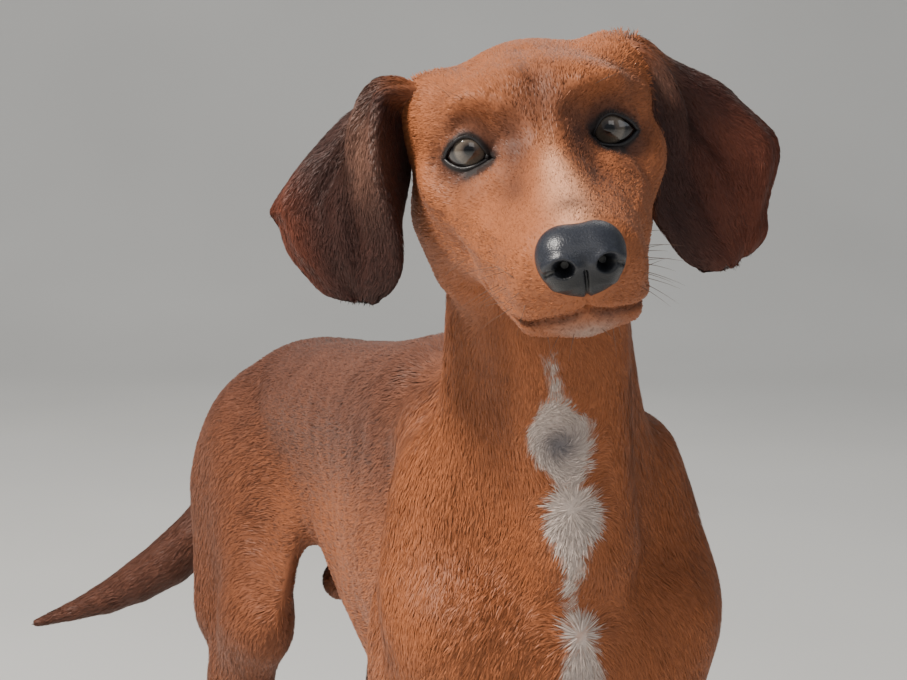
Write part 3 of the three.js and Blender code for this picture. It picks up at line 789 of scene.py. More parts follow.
def ear_sheet(lines, across=52, down=56):
    """A closed sheet that hangs from the skull over its own fold; its corners, in metres, and its faces."""
    edges = np.stack([smooth_line(line, down) for line in lines])
    sheet = np.stack([smooth_line(edges[:, i], across) for i in range(down)])
    for _ in range(3):
        sheet[:, 1:-1] += 0.5 * ((sheet[:, :-2] + sheet[:, 2:]) / 2 - sheet[:, 1:-1])
    hang = np.gradient(sheet, axis=0)
    out = unit(np.cross(np.gradient(sheet, axis=1), hang))
    out *= -np.sign(out[:, across // 2 :, 1].sum())
    t = np.linspace(0, 1, down)[:, None]
    reach = sizes(np.diff(edges, axis=0))
    front = (reach[0] / reach.sum(0))[:, None]
    u = (np.linspace(0, 1, across)[None] - front) / (1 - front)
    for root, end, width, rise, high, low in EAR_FOLDS:
        spell = smooth_step(t, high - 0.1, high + 0.15) * (1 - smooth_step(t, low - 0.25, low + 0.1))
        sheet += out * (rise * spell * bell(u - root - (end - root) * t, width))[:, :, None]
    sheet += out * (EAR_WAVE * np.sin(9 * u + 5 * t) * smooth_step(t, 0.4, 1))[:, :, None]
    notch = 2.5 * bell(u - 0.32, 0.05) + 1.2 * bell(u - 0.72, 0.06)
    sheet -= unit(hang) * (smooth_step(t, 0.85, 1) * notch)[:, :, None]
    tip = np.sqrt(np.maximum(1 - smooth_step(t, 0.9, 1.0) ** 2, 0.02))
    edge = np.sin(math.pi * np.clip(np.linspace(0, 1, across), 0.004, 0.996)) ** 0.4
    lift = (EAR_THICK * (1.25 - 0.45 * t) / 2 * tip * edge[None])[:, :, None] * out
    ring = np.concatenate([sheet + lift, (sheet - lift)[:, ::-1]], axis=1)
    round_it = ring.shape[1]
    points = on_body(ring.reshape(-1, 3))
    i, j = np.meshgrid(np.arange(down - 1), np.arange(round_it), indexing="ij")
    k = (j + 1) % round_it
    faces = np.stack([i * round_it + j, i * round_it + k, (i + 1) * round_it + k, (i + 1) * round_it + j], -1)
    faces = faces.reshape(-1, 4)
    for row in (0, down - 1):
        a = row * round_it + np.arange(across - 1)
        b = row * round_it + round_it - 1 - np.arange(across - 1)
        cap = np.stack([a, a + 1, b - 1, b], 1)
        faces = np.vstack([faces, cap if row else cap[:, ::-1]])
    return points, faces


def cut_ring(rings):
    """A closed solid through rings of points that each have the same count."""
    count = len(rings[0])
    points = np.vstack([rings[0].mean(0), *rings, rings[-1].mean(0)])
    faces = []
    for i in range(count):
        j = (i + 1) % count
        faces.append((0, 1 + j, 1 + i))
        for r in range(len(rings) - 1):
            a, b = 1 + r * count, 1 + (r + 1) * count
            faces += [(a + i, a + j, b + j), (a + i, b + j, b + i)]
        faces.append((1 + (len(rings) - 1) * count + i, 1 + (len(rings) - 1) * count + j, len(points) - 1))
    return points, np.array(faces)


def turn_outward(obj):
    """Makes all faces of a closed mesh point outwards."""
    every = np.ones(len(obj.data.vertices), bool)
    in_edit(obj, every, lambda: bpy.ops.mesh.normals_make_consistent(inside=False))


def even_out(mesh, measure, rounds):
    """The points of a mesh, laid on the skin and evened out over it."""
    points, edges = read_points(mesh), read_edges(mesh)
    for _ in range(rounds):
        points = relax(settle(points, measure, 0, rounds=1), edges, 2)
    return settle(points, measure, 0, rounds=2)


def make_skin(shape):
    """The skin of the whole dog: one closed mesh in the body's millimetres, its ears in a second material."""
    body = body_flesh()
    bpy.ops.mesh.primitive_ico_sphere_add(subdivisions=4, radius=1)
    ball = bpy.context.object
    round_points = read_points(ball.data)
    round_faces = np.array([f.vertices[:] for f in ball.data.polygons])
    bpy.data.objects.remove(ball)
    pieces = leaves(body) + both(lambda s: [egg(at(30 * s, 296, 376), (14, 24, 22))])
    skin = mesh_object(
        "skin",
        np.vstack([piece.shape(round_points) for piece in pieces]),
        np.vstack([round_faces + i * len(round_points) for i in range(len(pieces))]),
    )
    apply(skin, "REMESH", mode="VOXEL", voxel_size=shape.voxel / MM)
    top = np.zeros(len(skin.data.vertices), bool)
    top[read_points(skin.data)[:, 2].argmax()] = True
    in_edit(
        skin, top,
        lambda: bpy.ops.mesh.select_linked(),
        lambda: bpy.ops.mesh.select_all(action="INVERT"),
        lambda: bpy.ops.mesh.delete(type="VERT"),
    )
    measure = skin_measure(body)
    points = even_out(skin.data, measure, 3)
    write_points(skin.data, points)
    for chosen, cuts in (
        (in_head(points)[:, 1] + 0.3 * np.abs(in_head(points)[:, 2] + 10) < 74, shape.face_cuts),
        (paw_near(points) > 0.2, 1),
    ):
        if cuts:
            here = np.zeros(len(skin.data.vertices), bool)
            here[: len(chosen)] = chosen
            in_edit(skin, here, lambda cuts=cuts: bpy.ops.mesh.subdivide(number_cuts=cuts))
    write_points(skin.data, close_lids(even_out(skin.data, measure, 1)))
    points = fold_skin(read_points(skin.data), read_normals(skin.data), measure)
    write_points(skin.data, relax(points, read_edges(skin.data), 1, 0.3))
    turn_outward(skin)
    join_ears(skin)
    open_eyes(skin)
    points = read_points(skin.data)
    points[:, 2] = np.maximum(points[:, 2], 0.5)
    write_points(skin.data, points)
    return skin


def join_ears(skin):
    """Joins both ears to the skin; their faces keep a second material."""
    skin.data.materials.clear()
    skin.data.materials.append(bpy.data.materials.new("skin mark"))
    ear_mark = bpy.data.materials.new("ear mark")
    for name, lines in EARS.items():
        ear = mesh_object("ear " + name, *ear_sheet(lines))
        turn_outward(ear)
        ear.data.materials.append(ear_mark)
        apply(skin, "BOOLEAN", operation="UNION", object=ear, solver="MANIFOLD", material_mode="TRANSFER")
        bpy.data.objects.remove(ear)


def open_eyes(skin):
    """Cuts the openings of the lids."""
    for s in (1, -1):
        line = almond()
        rings = [on_lids(line, EYE_RADIUS * share, s) for share in (0.6, 1, 1.25, 1.55)]
        cutter = mesh_object("lids' opening", *cut_ring(rings))
        turn_outward(cutter)
        apply(skin, "BOOLEAN", operation="DIFFERENCE", object=cutter, solver="MANIFOLD")
        bpy.data.objects.remove(cutter)


# ---- Markings ----
def tone(red, green, blue):
    """A screen colour, 0 to 255, as linear light."""
    share = np.array([red, green, blue], float) / 255
    return np.where(share <= 0.04045, share / 12.92, ((share + 0.055) / 1.055) ** 2.4)


RED, TAN, DEEP, BACK_TONE = tone(154, 90, 54), tone(164, 98, 60), tone(86, 50, 36), tone(92, 61, 51)
# The ears' dark brown, their redder edges, and the pale tone of a painted sheen where their folds catch the
# light.
EAR_TONE, EAR_EDGE, EAR_PAINTED_SHEEN = tone(58, 32, 26), tone(112, 58, 40), tone(158, 114, 94)
# Where the painted sheen lies on the ears: middle and radii, in the head's frame.
EAR_SHEEN_SPOTS = [(at(-72, 28, 1), (7, 14, 20)), (at(56, 34, 14), (7, 12, 11))]
# The pale bridge, the dark lids, and a dark brown used both for the face's markings and for painted shade
# round the eyes and down the muzzle.
BRIDGE, LID_TONE, MASK_AND_SHADE = tone(232, 172, 136), tone(32, 25, 24), tone(70, 44, 36)
NOSE_TONE, NOSE_EDGE, CLAW_TONE = tone(52, 55, 64), tone(58, 46, 43), tone(58, 44, 38)
WHITE, WHORL_GREY = tone(188, 172, 162), tone(66, 67, 76)
# The dark of the lips, also used for painted shade in the mouth's gap and inside the nostrils; the pale chin.
LIP_AND_SHADE_TONE, CHIN_TONE = tone(36, 28, 28), tone(166, 148, 138)


def mix(colours, tint, share):
    """Colours moved towards a tint by a share for each point."""
    return colours + (tint - colours) * np.clip(share, 0, 1)[:, None]


# How far apart the faint dark ripples across the back are.
STRIPES = (44, 20)
# Dark markings and painted shade of the face: middle on the left, radii, and how dark.
FACE_MARKS_AND_SHADE = [
    (at(14, -20, 3), (8, 19, 12), 0.9),
    (at(17, -40, -11), (7, 19, 9), 0.6),
    (at(30, -6, -14), (11, 12, 7), 0.5),
    (at(34, 6, 18), (14, 10, 7), 0.3),
    (at(26, -16, -20), (12, 12, 9), 0.4),
    (at(0, -4, 17), (12, 17, 16), 0.72),
    (at(0, -84, -12), (7, 7, 7), 0.65),
]


def on_back(points):
    """How much points belong to the back: from 0 on the sides to 1 along the spine."""
    return smooth_step(points[:, 2], 396, 486) * smooth_step(points[:, 1], -30, 60)


def body_colour(points, hound):
    """The red-brown body, darker along the back and towards the tail."""
    made = np.tile(hound.body_colour, (len(points), 1))
    made = mix(made, BACK_TONE, on_back(points) * 0.8)
    rearwards = smooth_step(points[:, 1], 120, 380) + smooth_step(points[:, 1], 440, 520)
    return mix(made, DEEP, 0.6 * rearwards)


def mark_face(made, points, local, head):
    """Adds the face's pale bridge and chin, its dark markings with painted shade, its dark lids, and its dark
    lips with painted shade between them and under the nose.
    """
    made = mix(made, TAN, 0.5 * head)
    mid = np.abs(local[:, 0])
    bridge = bell(mid, 3.6 + 4.2 * smooth_step(-local[:, 1], 20, 80)) * smooth_step(-local[:, 1], 12, 50)
    made = mix(made, BRIDGE, 0.66 * bridge * smooth_step(local[:, 2], -30, -12) * head)
    # Dark patches, partly marking and partly painted shade under the eyes and down the sides of the muzzle.
    for spot, radii, share in FACE_MARKS_AND_SHADE:
        far = sizes((np.stack([mid, local[:, 1], local[:, 2]], 1) - spot) / radii)
        made = mix(made, MASK_AND_SHADE, share * bell(far, 1) * head)
    # A dark ring round each eye, partly marking and partly painted shade, then the dark lids.
    for _, pick, far, beside in near_eyes(local, 34):
        close = head[pick] * (1 - smooth_step(np.abs(far - EYE_RADIUS - LID), 3, 8))
        made[pick] = mix(made[pick], MASK_AND_SHADE, 0.85 * bell(np.maximum(beside, 0), 6.5) * close)
        made[pick] = mix(made[pick], LID_TONE, (1 - smooth_step(beside, 0.6, 2.2)) * close)
    pick = np.flatnonzero(head > 0.5)
    # Dark lips, with painted shade in the gap between them along the mouth.
    for line in lips():
        far = line_distance(points[pick], line)[0]
        made[pick] = mix(made[pick], LIP_AND_SHADE_TONE, 1 - smooth_step(far, 1.2, 3.0))
    chin = sizes((local - at(0, -88, -61)) / at(1.3, 1, 0.8))
    made = mix(made, CHIN_TONE, 0.75 * bell(chin, 8.5) * head)
    # Painted shade: the skin inside the nose leather, seen through the nostrils, is made nearly black.
    under_nose = 1 - smooth_step(nose_flesh().measure(local[pick]), -2.5, -0.3)
    made[pick] = mix(made[pick], LIP_AND_SHADE_TONE * 0.15, under_nose)
    return made


def mark_chest(made, points, hound):
    """Adds the pale streak down the neck and chest, and its grey whorl."""
    line = np.array(STREAK)
    centre = smooth_line(line[:, :3], 40)
    half_wide = np.interp(-centre[:, 2], -line[:, 2], line[:, 3])
    pick = in_box(points, at(-FAR, -FAR, 360), at(FAR, -80, 560))
    inside = (sizes(points[pick, None] - centre) - half_wide).min(1)
    inside += 2.4 * rough_noise(points[pick], 2.6, 9) + 1.6 * rough_noise(points[pick], 6, 11)
    made[pick] = mix(made[pick], np.array(hound.streak_colour), 1 - smooth_step(inside, -2.0, 1.2))
    whorl = sizes((points[pick] - at(-21, -117, 500)) / at(1.2, 1, 1))
    made[pick] = mix(made[pick], WHORL_GREY, 0.85 * bell(whorl, 7))
    return made


def mark_ears(made, local, ears, hound):
    """Adds the dark ears, with their redder edges and two patches of painted sheen where their folds catch
    the light.
    """
    root = np.minimum(*(sizes((local - at(44 * s, 44, 25)) / at(1, 1, 0.6)) for s in (1, -1)))
    made = mix(made, np.array(hound.ear_colour), ears * (0.15 + 0.85 * smooth_step(root, 9, 28)))
    hanging = smooth_step(local[:, 0], 52, 88) * (1 - 0.6 * smooth_step(local[:, 2], -26, 2))
    edge = smooth_step(np.abs(local[:, 0]), 92, 116) + hanging
    made = mix(made, EAR_EDGE, ears * np.minimum(edge, 1) * 0.85)
    # Painted sheen: a pale tone laid where the folds of the ears catch the light.
    for centre, radii in EAR_SHEEN_SPOTS:
        made = mix(made, EAR_PAINTED_SHEEN, ears * 0.6 * bell(sizes((local - centre) / radii), 1))
    return made


def coat_colour(points, ears, hound):
    """The colour of the dog at points of its body; ears says which of them are on the ears."""
    local = in_head(points)
    made = body_colour(points, hound)
    made = mark_face(made, points, local, head_near(points) * (1 - ears))
    made = mark_chest(made, points, hound)
    for apart in STRIPES:
        wave = points[:, 1] * math.tau / apart + points[:, 2] / 14 + 1.3 * np.sin(points[:, 2] / 37)
        made = mix(made, DEEP, 0.3 * np.maximum(np.sin(wave), 0) * on_back(points))
    return mark_ears(made, local, ears, hound)


def add_tone(mesh, colours):
    """Stores a colour for each point of a mesh."""
    layer = mesh.color_attributes.new("tone", "FLOAT_COLOR", "POINT")
    solid = np.hstack([colours, np.ones((len(colours), 1))])
    put(layer.data, "color", solid)


# ---- Materials ----
def feed(tree, node, inputs):
    """Gives each of these inputs of a node its value, or a link from the output it is given."""
    for key, value in inputs.items():
        if isinstance(value, bpy.types.NodeSocket):
            tree.links.new(value, node.inputs[key])
        else:
            node.inputs[key].default_value = value


def add_node(tree, kind, inputs):
    """A new node with these inputs."""
    node = tree.nodes.new(kind)
    feed(tree, node, inputs)
    return node


def new_material(name):
    """A node material, its tree and its shader."""
    material = bpy.data.materials.new(name)
    material.use_nodes = True
    return material, material.node_tree, material.node_tree.nodes["Principled BSDF"]


def own_place(tree):
    """Places on the piece itself, in its own frame."""
    return tree.nodes.new("ShaderNodeTexCoord").outputs["Object"]


def stored_tone(tree):
    """The colour stored in the mesh's points."""
    stored = tree.nodes.new("ShaderNodeVertexColor")
    stored.layer_name = "tone"
    return stored.outputs["Color"]


def ramp(tree, share, stops):
    """The colour that a share picks from these stops."""
    node = add_node(tree, "ShaderNodeValToRGB", {"Fac": share})
    elements = node.color_ramp.elements
    while len(elements) < len(stops):
        elements.new(0.5)
    for element, (where, colour) in zip(elements, stops):
        element.position, element.color = where, (*colour, 1)
    return node.outputs["Color"]


def multiplied(tree, first, second):
    """Two colours multiplied."""
    node = tree.nodes.new("ShaderNodeMix")
    node.data_type, node.blend_type = "RGBA", "MULTIPLY"
    feed(tree, node, {"Factor": 1, 6: first, 7: second})
    return node.outputs[2]


def broken_up(tree, colour, share, strength):
    """A colour made darker and lighter by up to this strength, as share goes from 0 to 1."""
    span = add_node(tree, "ShaderNodeMapRange", {
        "To Min": 1 - strength, "To Max": 1 + strength, "Value": share,
    })
    return multiplied(tree, colour, span.outputs["Result"])


def coat_material(name, strength, rough):
    """Coat or skin: its stored colour, broken up finely, with a fine bump."""
    material, tree, principled = new_material(name)
    fine = add_node(tree, "ShaderNodeTexNoise", {"Scale": 900, "Detail": 3, "Vector": own_place(tree)})
    fine = fine.outputs["Fac"]
    bump = add_node(tree, "ShaderNodeBump", {"Strength": 0.35, "Distance": 0.0006, "Height": fine})
    feed(tree, principled, {
        "Base Color": broken_up(tree, stored_tone(tree), fine, strength),
        "Normal": bump.outputs["Normal"],
        "Roughness": rough,
        "Specular IOR Level": 0.3,
        "Sheen Weight": 0.03,
        "Sheen Roughness": 0.4,
    })
    return material


def eye_material():
    """The eye: a small pupil, a grey iris with fine spokes, a dark ring round it, and a wet surface."""
    material, tree, principled = new_material("wet eye")
    chart = tree.nodes.new("ShaderNodeUVMap")
    chart.uv_map = "eye"
    chart = chart.outputs["UV"]
    parts = add_node(tree, "ShaderNodeSeparateXYZ", {"Vector": chart})
    rings = ramp(tree, parts.outputs["Y"], [
        (0.0, tone(6, 6, 8)), (0.048, tone(8, 8, 9)), (0.06, tone(54, 47, 43)), (0.10, tone(88, 78, 68)),
        (0.16, tone(100, 91, 80)), (0.188, tone(66, 60, 55)), (0.205, tone(22, 19, 19)),
        (0.30, tone(44, 32, 28)), (0.5, tone(60, 40, 36)),
    ])
    stretch = add_node(tree, "ShaderNodeMapping", {"Scale": (60, 6, 1), "Vector": chart})
    spokes = add_node(tree, "ShaderNodeTexNoise", {
        "Scale": 1, "Detail": 4, "Vector": stretch.outputs["Vector"],
    })
    feed(tree, principled, {
        "Base Color": broken_up(tree, rings, spokes.outputs["Fac"], 0.45),
        "Roughness": 0.12,
        "IOR": 1.4,
        "Coat Weight": 1,
        "Coat Roughness": 0.02,
    })
    return material


def leather_material(name, colour, rough, scale, deep, stored=False):
    """Pebbled leather or horn: one colour with a little variation, times the stored one if it has that."""
    material, tree, principled = new_material(name)
    pebbles = add_node(tree, "ShaderNodeTexVoronoi", {"Scale": scale, "Vector": own_place(tree)})
    pebbles = pebbles.outputs["Distance"]
    tint = ramp(tree, pebbles, [(0.0, colour), (0.6, colour * 0.6)])
    bump = add_node(tree, "ShaderNodeBump", {"Strength": 0.5, "Distance": deep, "Height": pebbles})
    bump.invert = True
    feed(tree, principled, {
        "Base Color": multiplied(tree, tint, stored_tone(tree)) if stored else tint,
        "Normal": bump.outputs["Normal"],
        "Roughness": rough,
    })
    return material


# ---- The pieces ----
FLESH = [
    "trunk", "neck", "head", "ear_left", "ear_right", "tail_base", "tail_tip",
    *[f"{part}_{way}" for part in ("foreleg", "forewrist", "forepaw", "thigh", "hock", "hindpaw")
      for way in ("left", "right")],
]


def finish_piece(obj, material, nodes=()):
    """Gives a finished piece its material and its place in the model."""
    obj.data.materials.clear()
    obj.data.materials.append(material)
    alone(obj)
    bpy.ops.object.shade_smooth()
    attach(obj, "root")
    if nodes:
        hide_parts(*nodes)


def on_ears(mesh):
    """Which points of the skin are on the ears."""
    marks = held(mesh.polygons, "material_index", kind=np.int32)
    counts = held(mesh.polygons, "loop_total", kind=np.int32)
    corners = held(mesh.loops, "vertex_index", kind=np.int32)
    owner = np.repeat(marks == 1, counts)
    total = np.bincount(corners, minlength=len(mesh.vertices))
    return np.bincount(corners, owner, len(mesh.vertices)) / np.maximum(total, 1)


def build_skin(hound):
    """The skin, with its colours, its map, and the lie of the coat stored in its points."""
    skin = make_skin(hound)
    ears = on_ears(skin.data)
    points = read_points(skin.data)
    put(skin.data.attributes.new("on_ears", "FLOAT", "POINT").data, "value", ears)
    lie = coat_lie(points, read_normals(skin.data), ears)
    put(skin.data.attributes.new("lie", "FLOAT_VECTOR", "POINT").data, "vector", lie)
    add_tone(skin.data, coat_colour(points, ears, hound))
    write_points(skin.data, placed(points))
    put(skin.data.polygons, "material_index", np.zeros(len(skin.data.polygons)), np.int32)
    skin.data.uv_layers.new(name="OFBake")
    in_edit(
        skin, np.ones(len(points), bool),
        lambda: bpy.ops.uv.smart_project(angle_limit=math.radians(66), island_margin=0.002),
    )
    finish_piece(skin, coat_material("hound skin", 0.18, 0.6), FLESH)


def ball_mesh(name, across, down):
    """A round ball's object, and its points with their poles along Z."""
    bpy.ops.mesh.primitive_uv_sphere_add(segments=across, ring_count=down, radius=1)
    ball = bpy.context.object
    ball.name = ball.data.name = name
    return ball, read_points(ball.data)


def build_eyes(hound):
    """Both eyes, each turned to its gaze, with a cornea that stands out over the iris."""
    material = eye_material()
    for way, s in (("left", 1), ("right", -1)):
        eye, points = ball_mesh("eyeball_" + way, 64, 48)
        turn = np.arccos(np.clip(points[:, 2], -1, 1))
        radius = EYE_RADIUS - 0.1 + CORNEA_RISE * (1 - smooth_step(turn, CORNEA_TOP, CORNEA_EDGE))
        chart = eye.data.uv_layers.new(name="eye")
        corners = held(eye.data.loops, "vertex_index", kind=np.int32)
        around = (np.arctan2(points[:, 1], points[:, 0]) / math.tau) % 1
        put(chart.data, "uv", np.stack([around[corners], (turn / math.pi)[corners]], 1))
        look = points @ np.stack([GAZE_ACROSS, GAZE_UP, GAZE])
        write_points(eye.data, placed(on_body(eye_centre(s) + look * radius[:, None])))
        for layer in [u for u in eye.data.uv_layers if u.name != "eye"]:
            eye.data.uv_layers.remove(layer)
        turn_outward(eye)
        finish_piece(eye, material, ["eye_" + way])


def tube(line, radii, around=8, closed=False):
    """A round tube along a line: its corners and faces. An open one comes to a point at both ends."""
    line = np.asarray(line, float)
    ahead = np.roll(line, -1, 0) - np.roll(line, 1, 0) if closed else np.gradient(line, axis=0)
    ahead = unit(ahead)
    up = unit(np.cross(ahead, at(0.31, 0.22, 0.93)))
    out = np.cross(ahead, up)
    turn = np.arange(around) * math.tau / around
    ring = np.cos(turn)[None, :, None] * up[:, None] + np.sin(turn)[None, :, None] * out[:, None]
    radii = np.broadcast_to(np.asarray(radii, float), len(line))
    points = (line[:, None] + ring * radii[:, None, None]).reshape(-1, 3)
    count = len(line)
    i, j = np.meshgrid(np.arange(count if closed else count - 1), np.arange(around), indexing="ij")
    i, j = i.ravel(), j.ravel()
    k, n = (j + 1) % around, (i + 1) % count
    faces = np.stack([i * around + j, n * around + j, n * around + k, i * around + k], 1)
    faces = np.vstack([faces[:, [0, 1, 2]], faces[:, [0, 2, 3]]])
    if not closed:
        first, end = line[0] - ahead[0] * radii[0] * 0.4, line[-1] + ahead[-1] * radii[-1] * 0.4
        points = np.vstack([points, first, end])
        j = np.arange(around)
        k = (j + 1) % around
        last = (count - 1) * around
        ends = len(points) - 2
        start_cap = np.stack([np.full(around, ends), j, k], 1)
        end_cap = np.stack([np.full(around, ends + 1), last + k, last + j], 1)
        faces = np.vstack([faces, start_cap, end_cap])
    return points, faces


def joined(name, parts):
    """One object from many small shapes of points and faces."""
    starts = np.cumsum([0] + [len(points) for points, _ in parts[:-1]])
    return mesh_object(
        name,
        placed(np.vstack([points for points, _ in parts])),
        np.vstack([faces + start for (_, faces), start in zip(parts, starts)]),
    )


def finish_parts(name, parts, material):
    """A finished piece of many small closed shapes."""
    piece = joined(name, parts)
    turn_outward(piece)
    finish_piece(piece, material)


def build_lid_rims(hound):
    """The bare dark rims of the lids, and the small pad in the inner corner of each eye."""
    parts = []
    for s in (1, -1):
        line = almond(96)
        parts.append(tube(on_lids(line, EYE_RADIUS + 0.75, s), 0.85, closed=True))
        corner = spread(np.array([[INNER_CORNER[0] + 1.4, INNER_CORNER[1] + 0.4], INNER_CORNER]))
        parts.append(tube(on_lids(corner, EYE_RADIUS + 0.4, s), (1.5, 0.7), around=10))
    rim = leather_material("lid rim", tone(30, 26, 28), 0.46, 2600, 0.0001)
    finish_parts("lid_rims", parts, rim)


def hair(root, way, length, bend, thick):
    """A stiff hair from its root along way, that bends towards bend and narrows to a point."""
    t = np.linspace(0, 1, 7)[:, None]
    line = root - way * 0.8 + (way * t + bend * t * t) * length
    return tube(line, thick * (1 - 0.85 * t[:, 0]), around=4)


def build_whiskers(hound):
    """The whiskers of the muzzle, brows and chin, and the lashes of the upper lids."""
    measure = skin_measure(body_flesh())
    dice = np.random.default_rng(hound.seed + 90)
    parts = []

    def grow(points, s, low, high, back):
        roots = settle(on_body(side(np.array(points, float), s)), measure, 0, rounds=4)
        ways = slope(measure, roots)[1]
        for root, way in zip(roots, ways):
            way = way + 0.25 * dice.standard_normal(3) + HEAD_TURN @ at(0, back, 0)
            bend = 0.3 * (HEAD_TURN @ at(0, 1, -0.6))
            parts.append(hair(root, unit(way), dice.uniform(low, high), bend, 0.15))

    for s in (1, -1):
        grow([(20, -84 + 10 * k, -35 - 5 * row - k) for row in range(3) for k in range(4)], s, 9, 19, 0.25)
        grow([(24, -8, 20), (28, -5, 20), (32, -1, 20)], s, 9, 14, 0.5)
        grow([(6, -88, -62), (11, -80, -64), (14, -66, -66), (34, 6, -46)], s, 8, 13, 0.4)
        lashes = spread(smooth_line([(*p, 0) for p in (OUTER_CORNER, *UPPER_LID[:4])], 20)[:, :2])
        lows = on_lids(lashes, EYE_RADIUS + 1.2, s)
        highs = on_lids(lashes * 1.25 + at(0, 1.6, 0)[:2], EYE_RADIUS + 3.2, s)
        droop = HEAD_TURN @ at(0, 0, -0.35)
        for low, high in zip(lows, highs):
            way = unit(high - low) + HEAD_TURN @ (0.7 * GAZE) + 0.12 * dice.standard_normal(3)
            parts.append(hair(low, unit(way), dice.uniform(3.0, 4.4), droop, 0.11))
    horn = leather_material("whisker horn", tone(112, 84, 66), 0.5, 2000, 0.00003)
    finish_parts("whiskers", parts, horn)


def nose_flesh():
    """The nose leather, in the head's own frame."""
    return melt(7, [
        egg(at(0, -97, -27.6), (13.4, 12, 11.3)),
        *both(lambda s: [
            egg(at(7.6 * s, -96.5, -25.6), (8.4, 11, 8.6)),
            egg(at(7.6 * s, -96, -31.6), (7.3, 10.6, 8.8)),
        ]),
        egg(at(0, -95, -37.2), (7.4, 10.5, 6.8)),
    ])


NOSTRIL_DEPTH = 5.6
NOSTRIL = [(6.4, -108, -30.4), (8.2, -106, -29.4), (10.8, -103.5, -30.4), (12.8, -101, -32)]
NOSE_LINES = [
    ([(0, -109, -32), (0, -107, -38), (0, -103, -45)], 0.8, -1.6),
    ([(3.4, -108, -29), (8.2, -107, -25.8), (13.5, -103, -29)], 1.8, 1.0),
    ([(4.4, -108, -37.6), (8.4, -106, -38.6), (13.6, -98, -40)], 1.5, 0.5),
]


def build_nose(hound):
    """The leather of the nose, with open nostrils that run out into slits, and the groove between them."""
    nose, points = ball_mesh("nose_leather", 160, 112)
    measure = nose_flesh().measure
    local = at(0, -97, -30.6) + points[:, [0, 2, 1]] * at(20, 16, 18)
    local = settle(local, measure, -0.3, rounds=5)
    way = slope(measure, local)[1]
    out, dark, groove = np.zeros(len(local)), np.zeros(len(local)), np.zeros(len(local))
    for s in (1, -1):
        line = settle(side(smooth_line(NOSTRIL, 14), s), measure, 0, rounds=4)
        hole = sizes((local - line[3]) * at(0.92, 0.8, 1.08))
        deep = 1 - smooth_step(hole, 2.6, 4.5)
        slit = 1 - smooth_step(line_distance(local, line)[0], 0.4, 1.3)
        out -= NOSTRIL_DEPTH * np.maximum(deep, 0.16 * slit)
        dark = np.maximum(dark, np.maximum(deep, slit))
        for raised, width, rise in NOSE_LINES:
            if s > 0 or raised[0][0]:
                laid = settle(side(smooth_line(raised, 14), s), measure, 0, rounds=4)
                far = line_distance(local, laid)[0]
                out += rise * (1 - dark) * bell(far, width)
                if rise < 0:
                    groove = np.maximum(groove, bell(far, width))
    local = local + out[:, None] * way
    leather_tone = np.array(hound.nose_colour)
    colours = np.tile(leather_tone, (len(local), 1))
    # The leather is darker towards the bottom; painted shade darkens it further in the nostrils, along their
    # slits and in the groove between them.
    colours = mix(colours, leather_tone * 0.16, 0.9 * smooth_step(-local[:, 2], 25, 36))
    colours = mix(colours, leather_tone * 0.06, np.maximum(dark, 0.8 * groove))
    colours = mix(colours, NOSE_EDGE, 0.6 * smooth_step(local[:, 1], -98, -90))
    add_tone(nose.data, colours)
    write_points(nose.data, placed(on_body(local)))
    turn_outward(nose)
    leather = leather_material("nose leather", tone(255, 255, 255), 0.36, 1500, 0.0002, stored=True)
    finish_piece(nose, leather, ["nose"])


def build_claws(hound):
    """A short curved claw at the end of each toe."""
    parts = []
    for heel, reach in ((FETLOCK, FORE_REACH), (HEEL, HIND_REACH)):
        for s in (1, -1):
            for i in TOES:
                far = reach * (1 if abs(i) < 1 else 0.8)
                tip = at(heel[0] * s + i * TOE_GAP * 1.13, heel[1] - far - 5, 11)
                line = smooth_line([tip, tip + at(0, -5, -1.5), tip + at(0, -9, -5.5)], 10)
                parts.append(tube(line, np.linspace(3.0, 0.6, 10), around=10))
    horn = leather_material("claw horn", np.array(hound.claw_colour), 0.4, 900, 0.0001)
    finish_parts("claws", parts, horn)


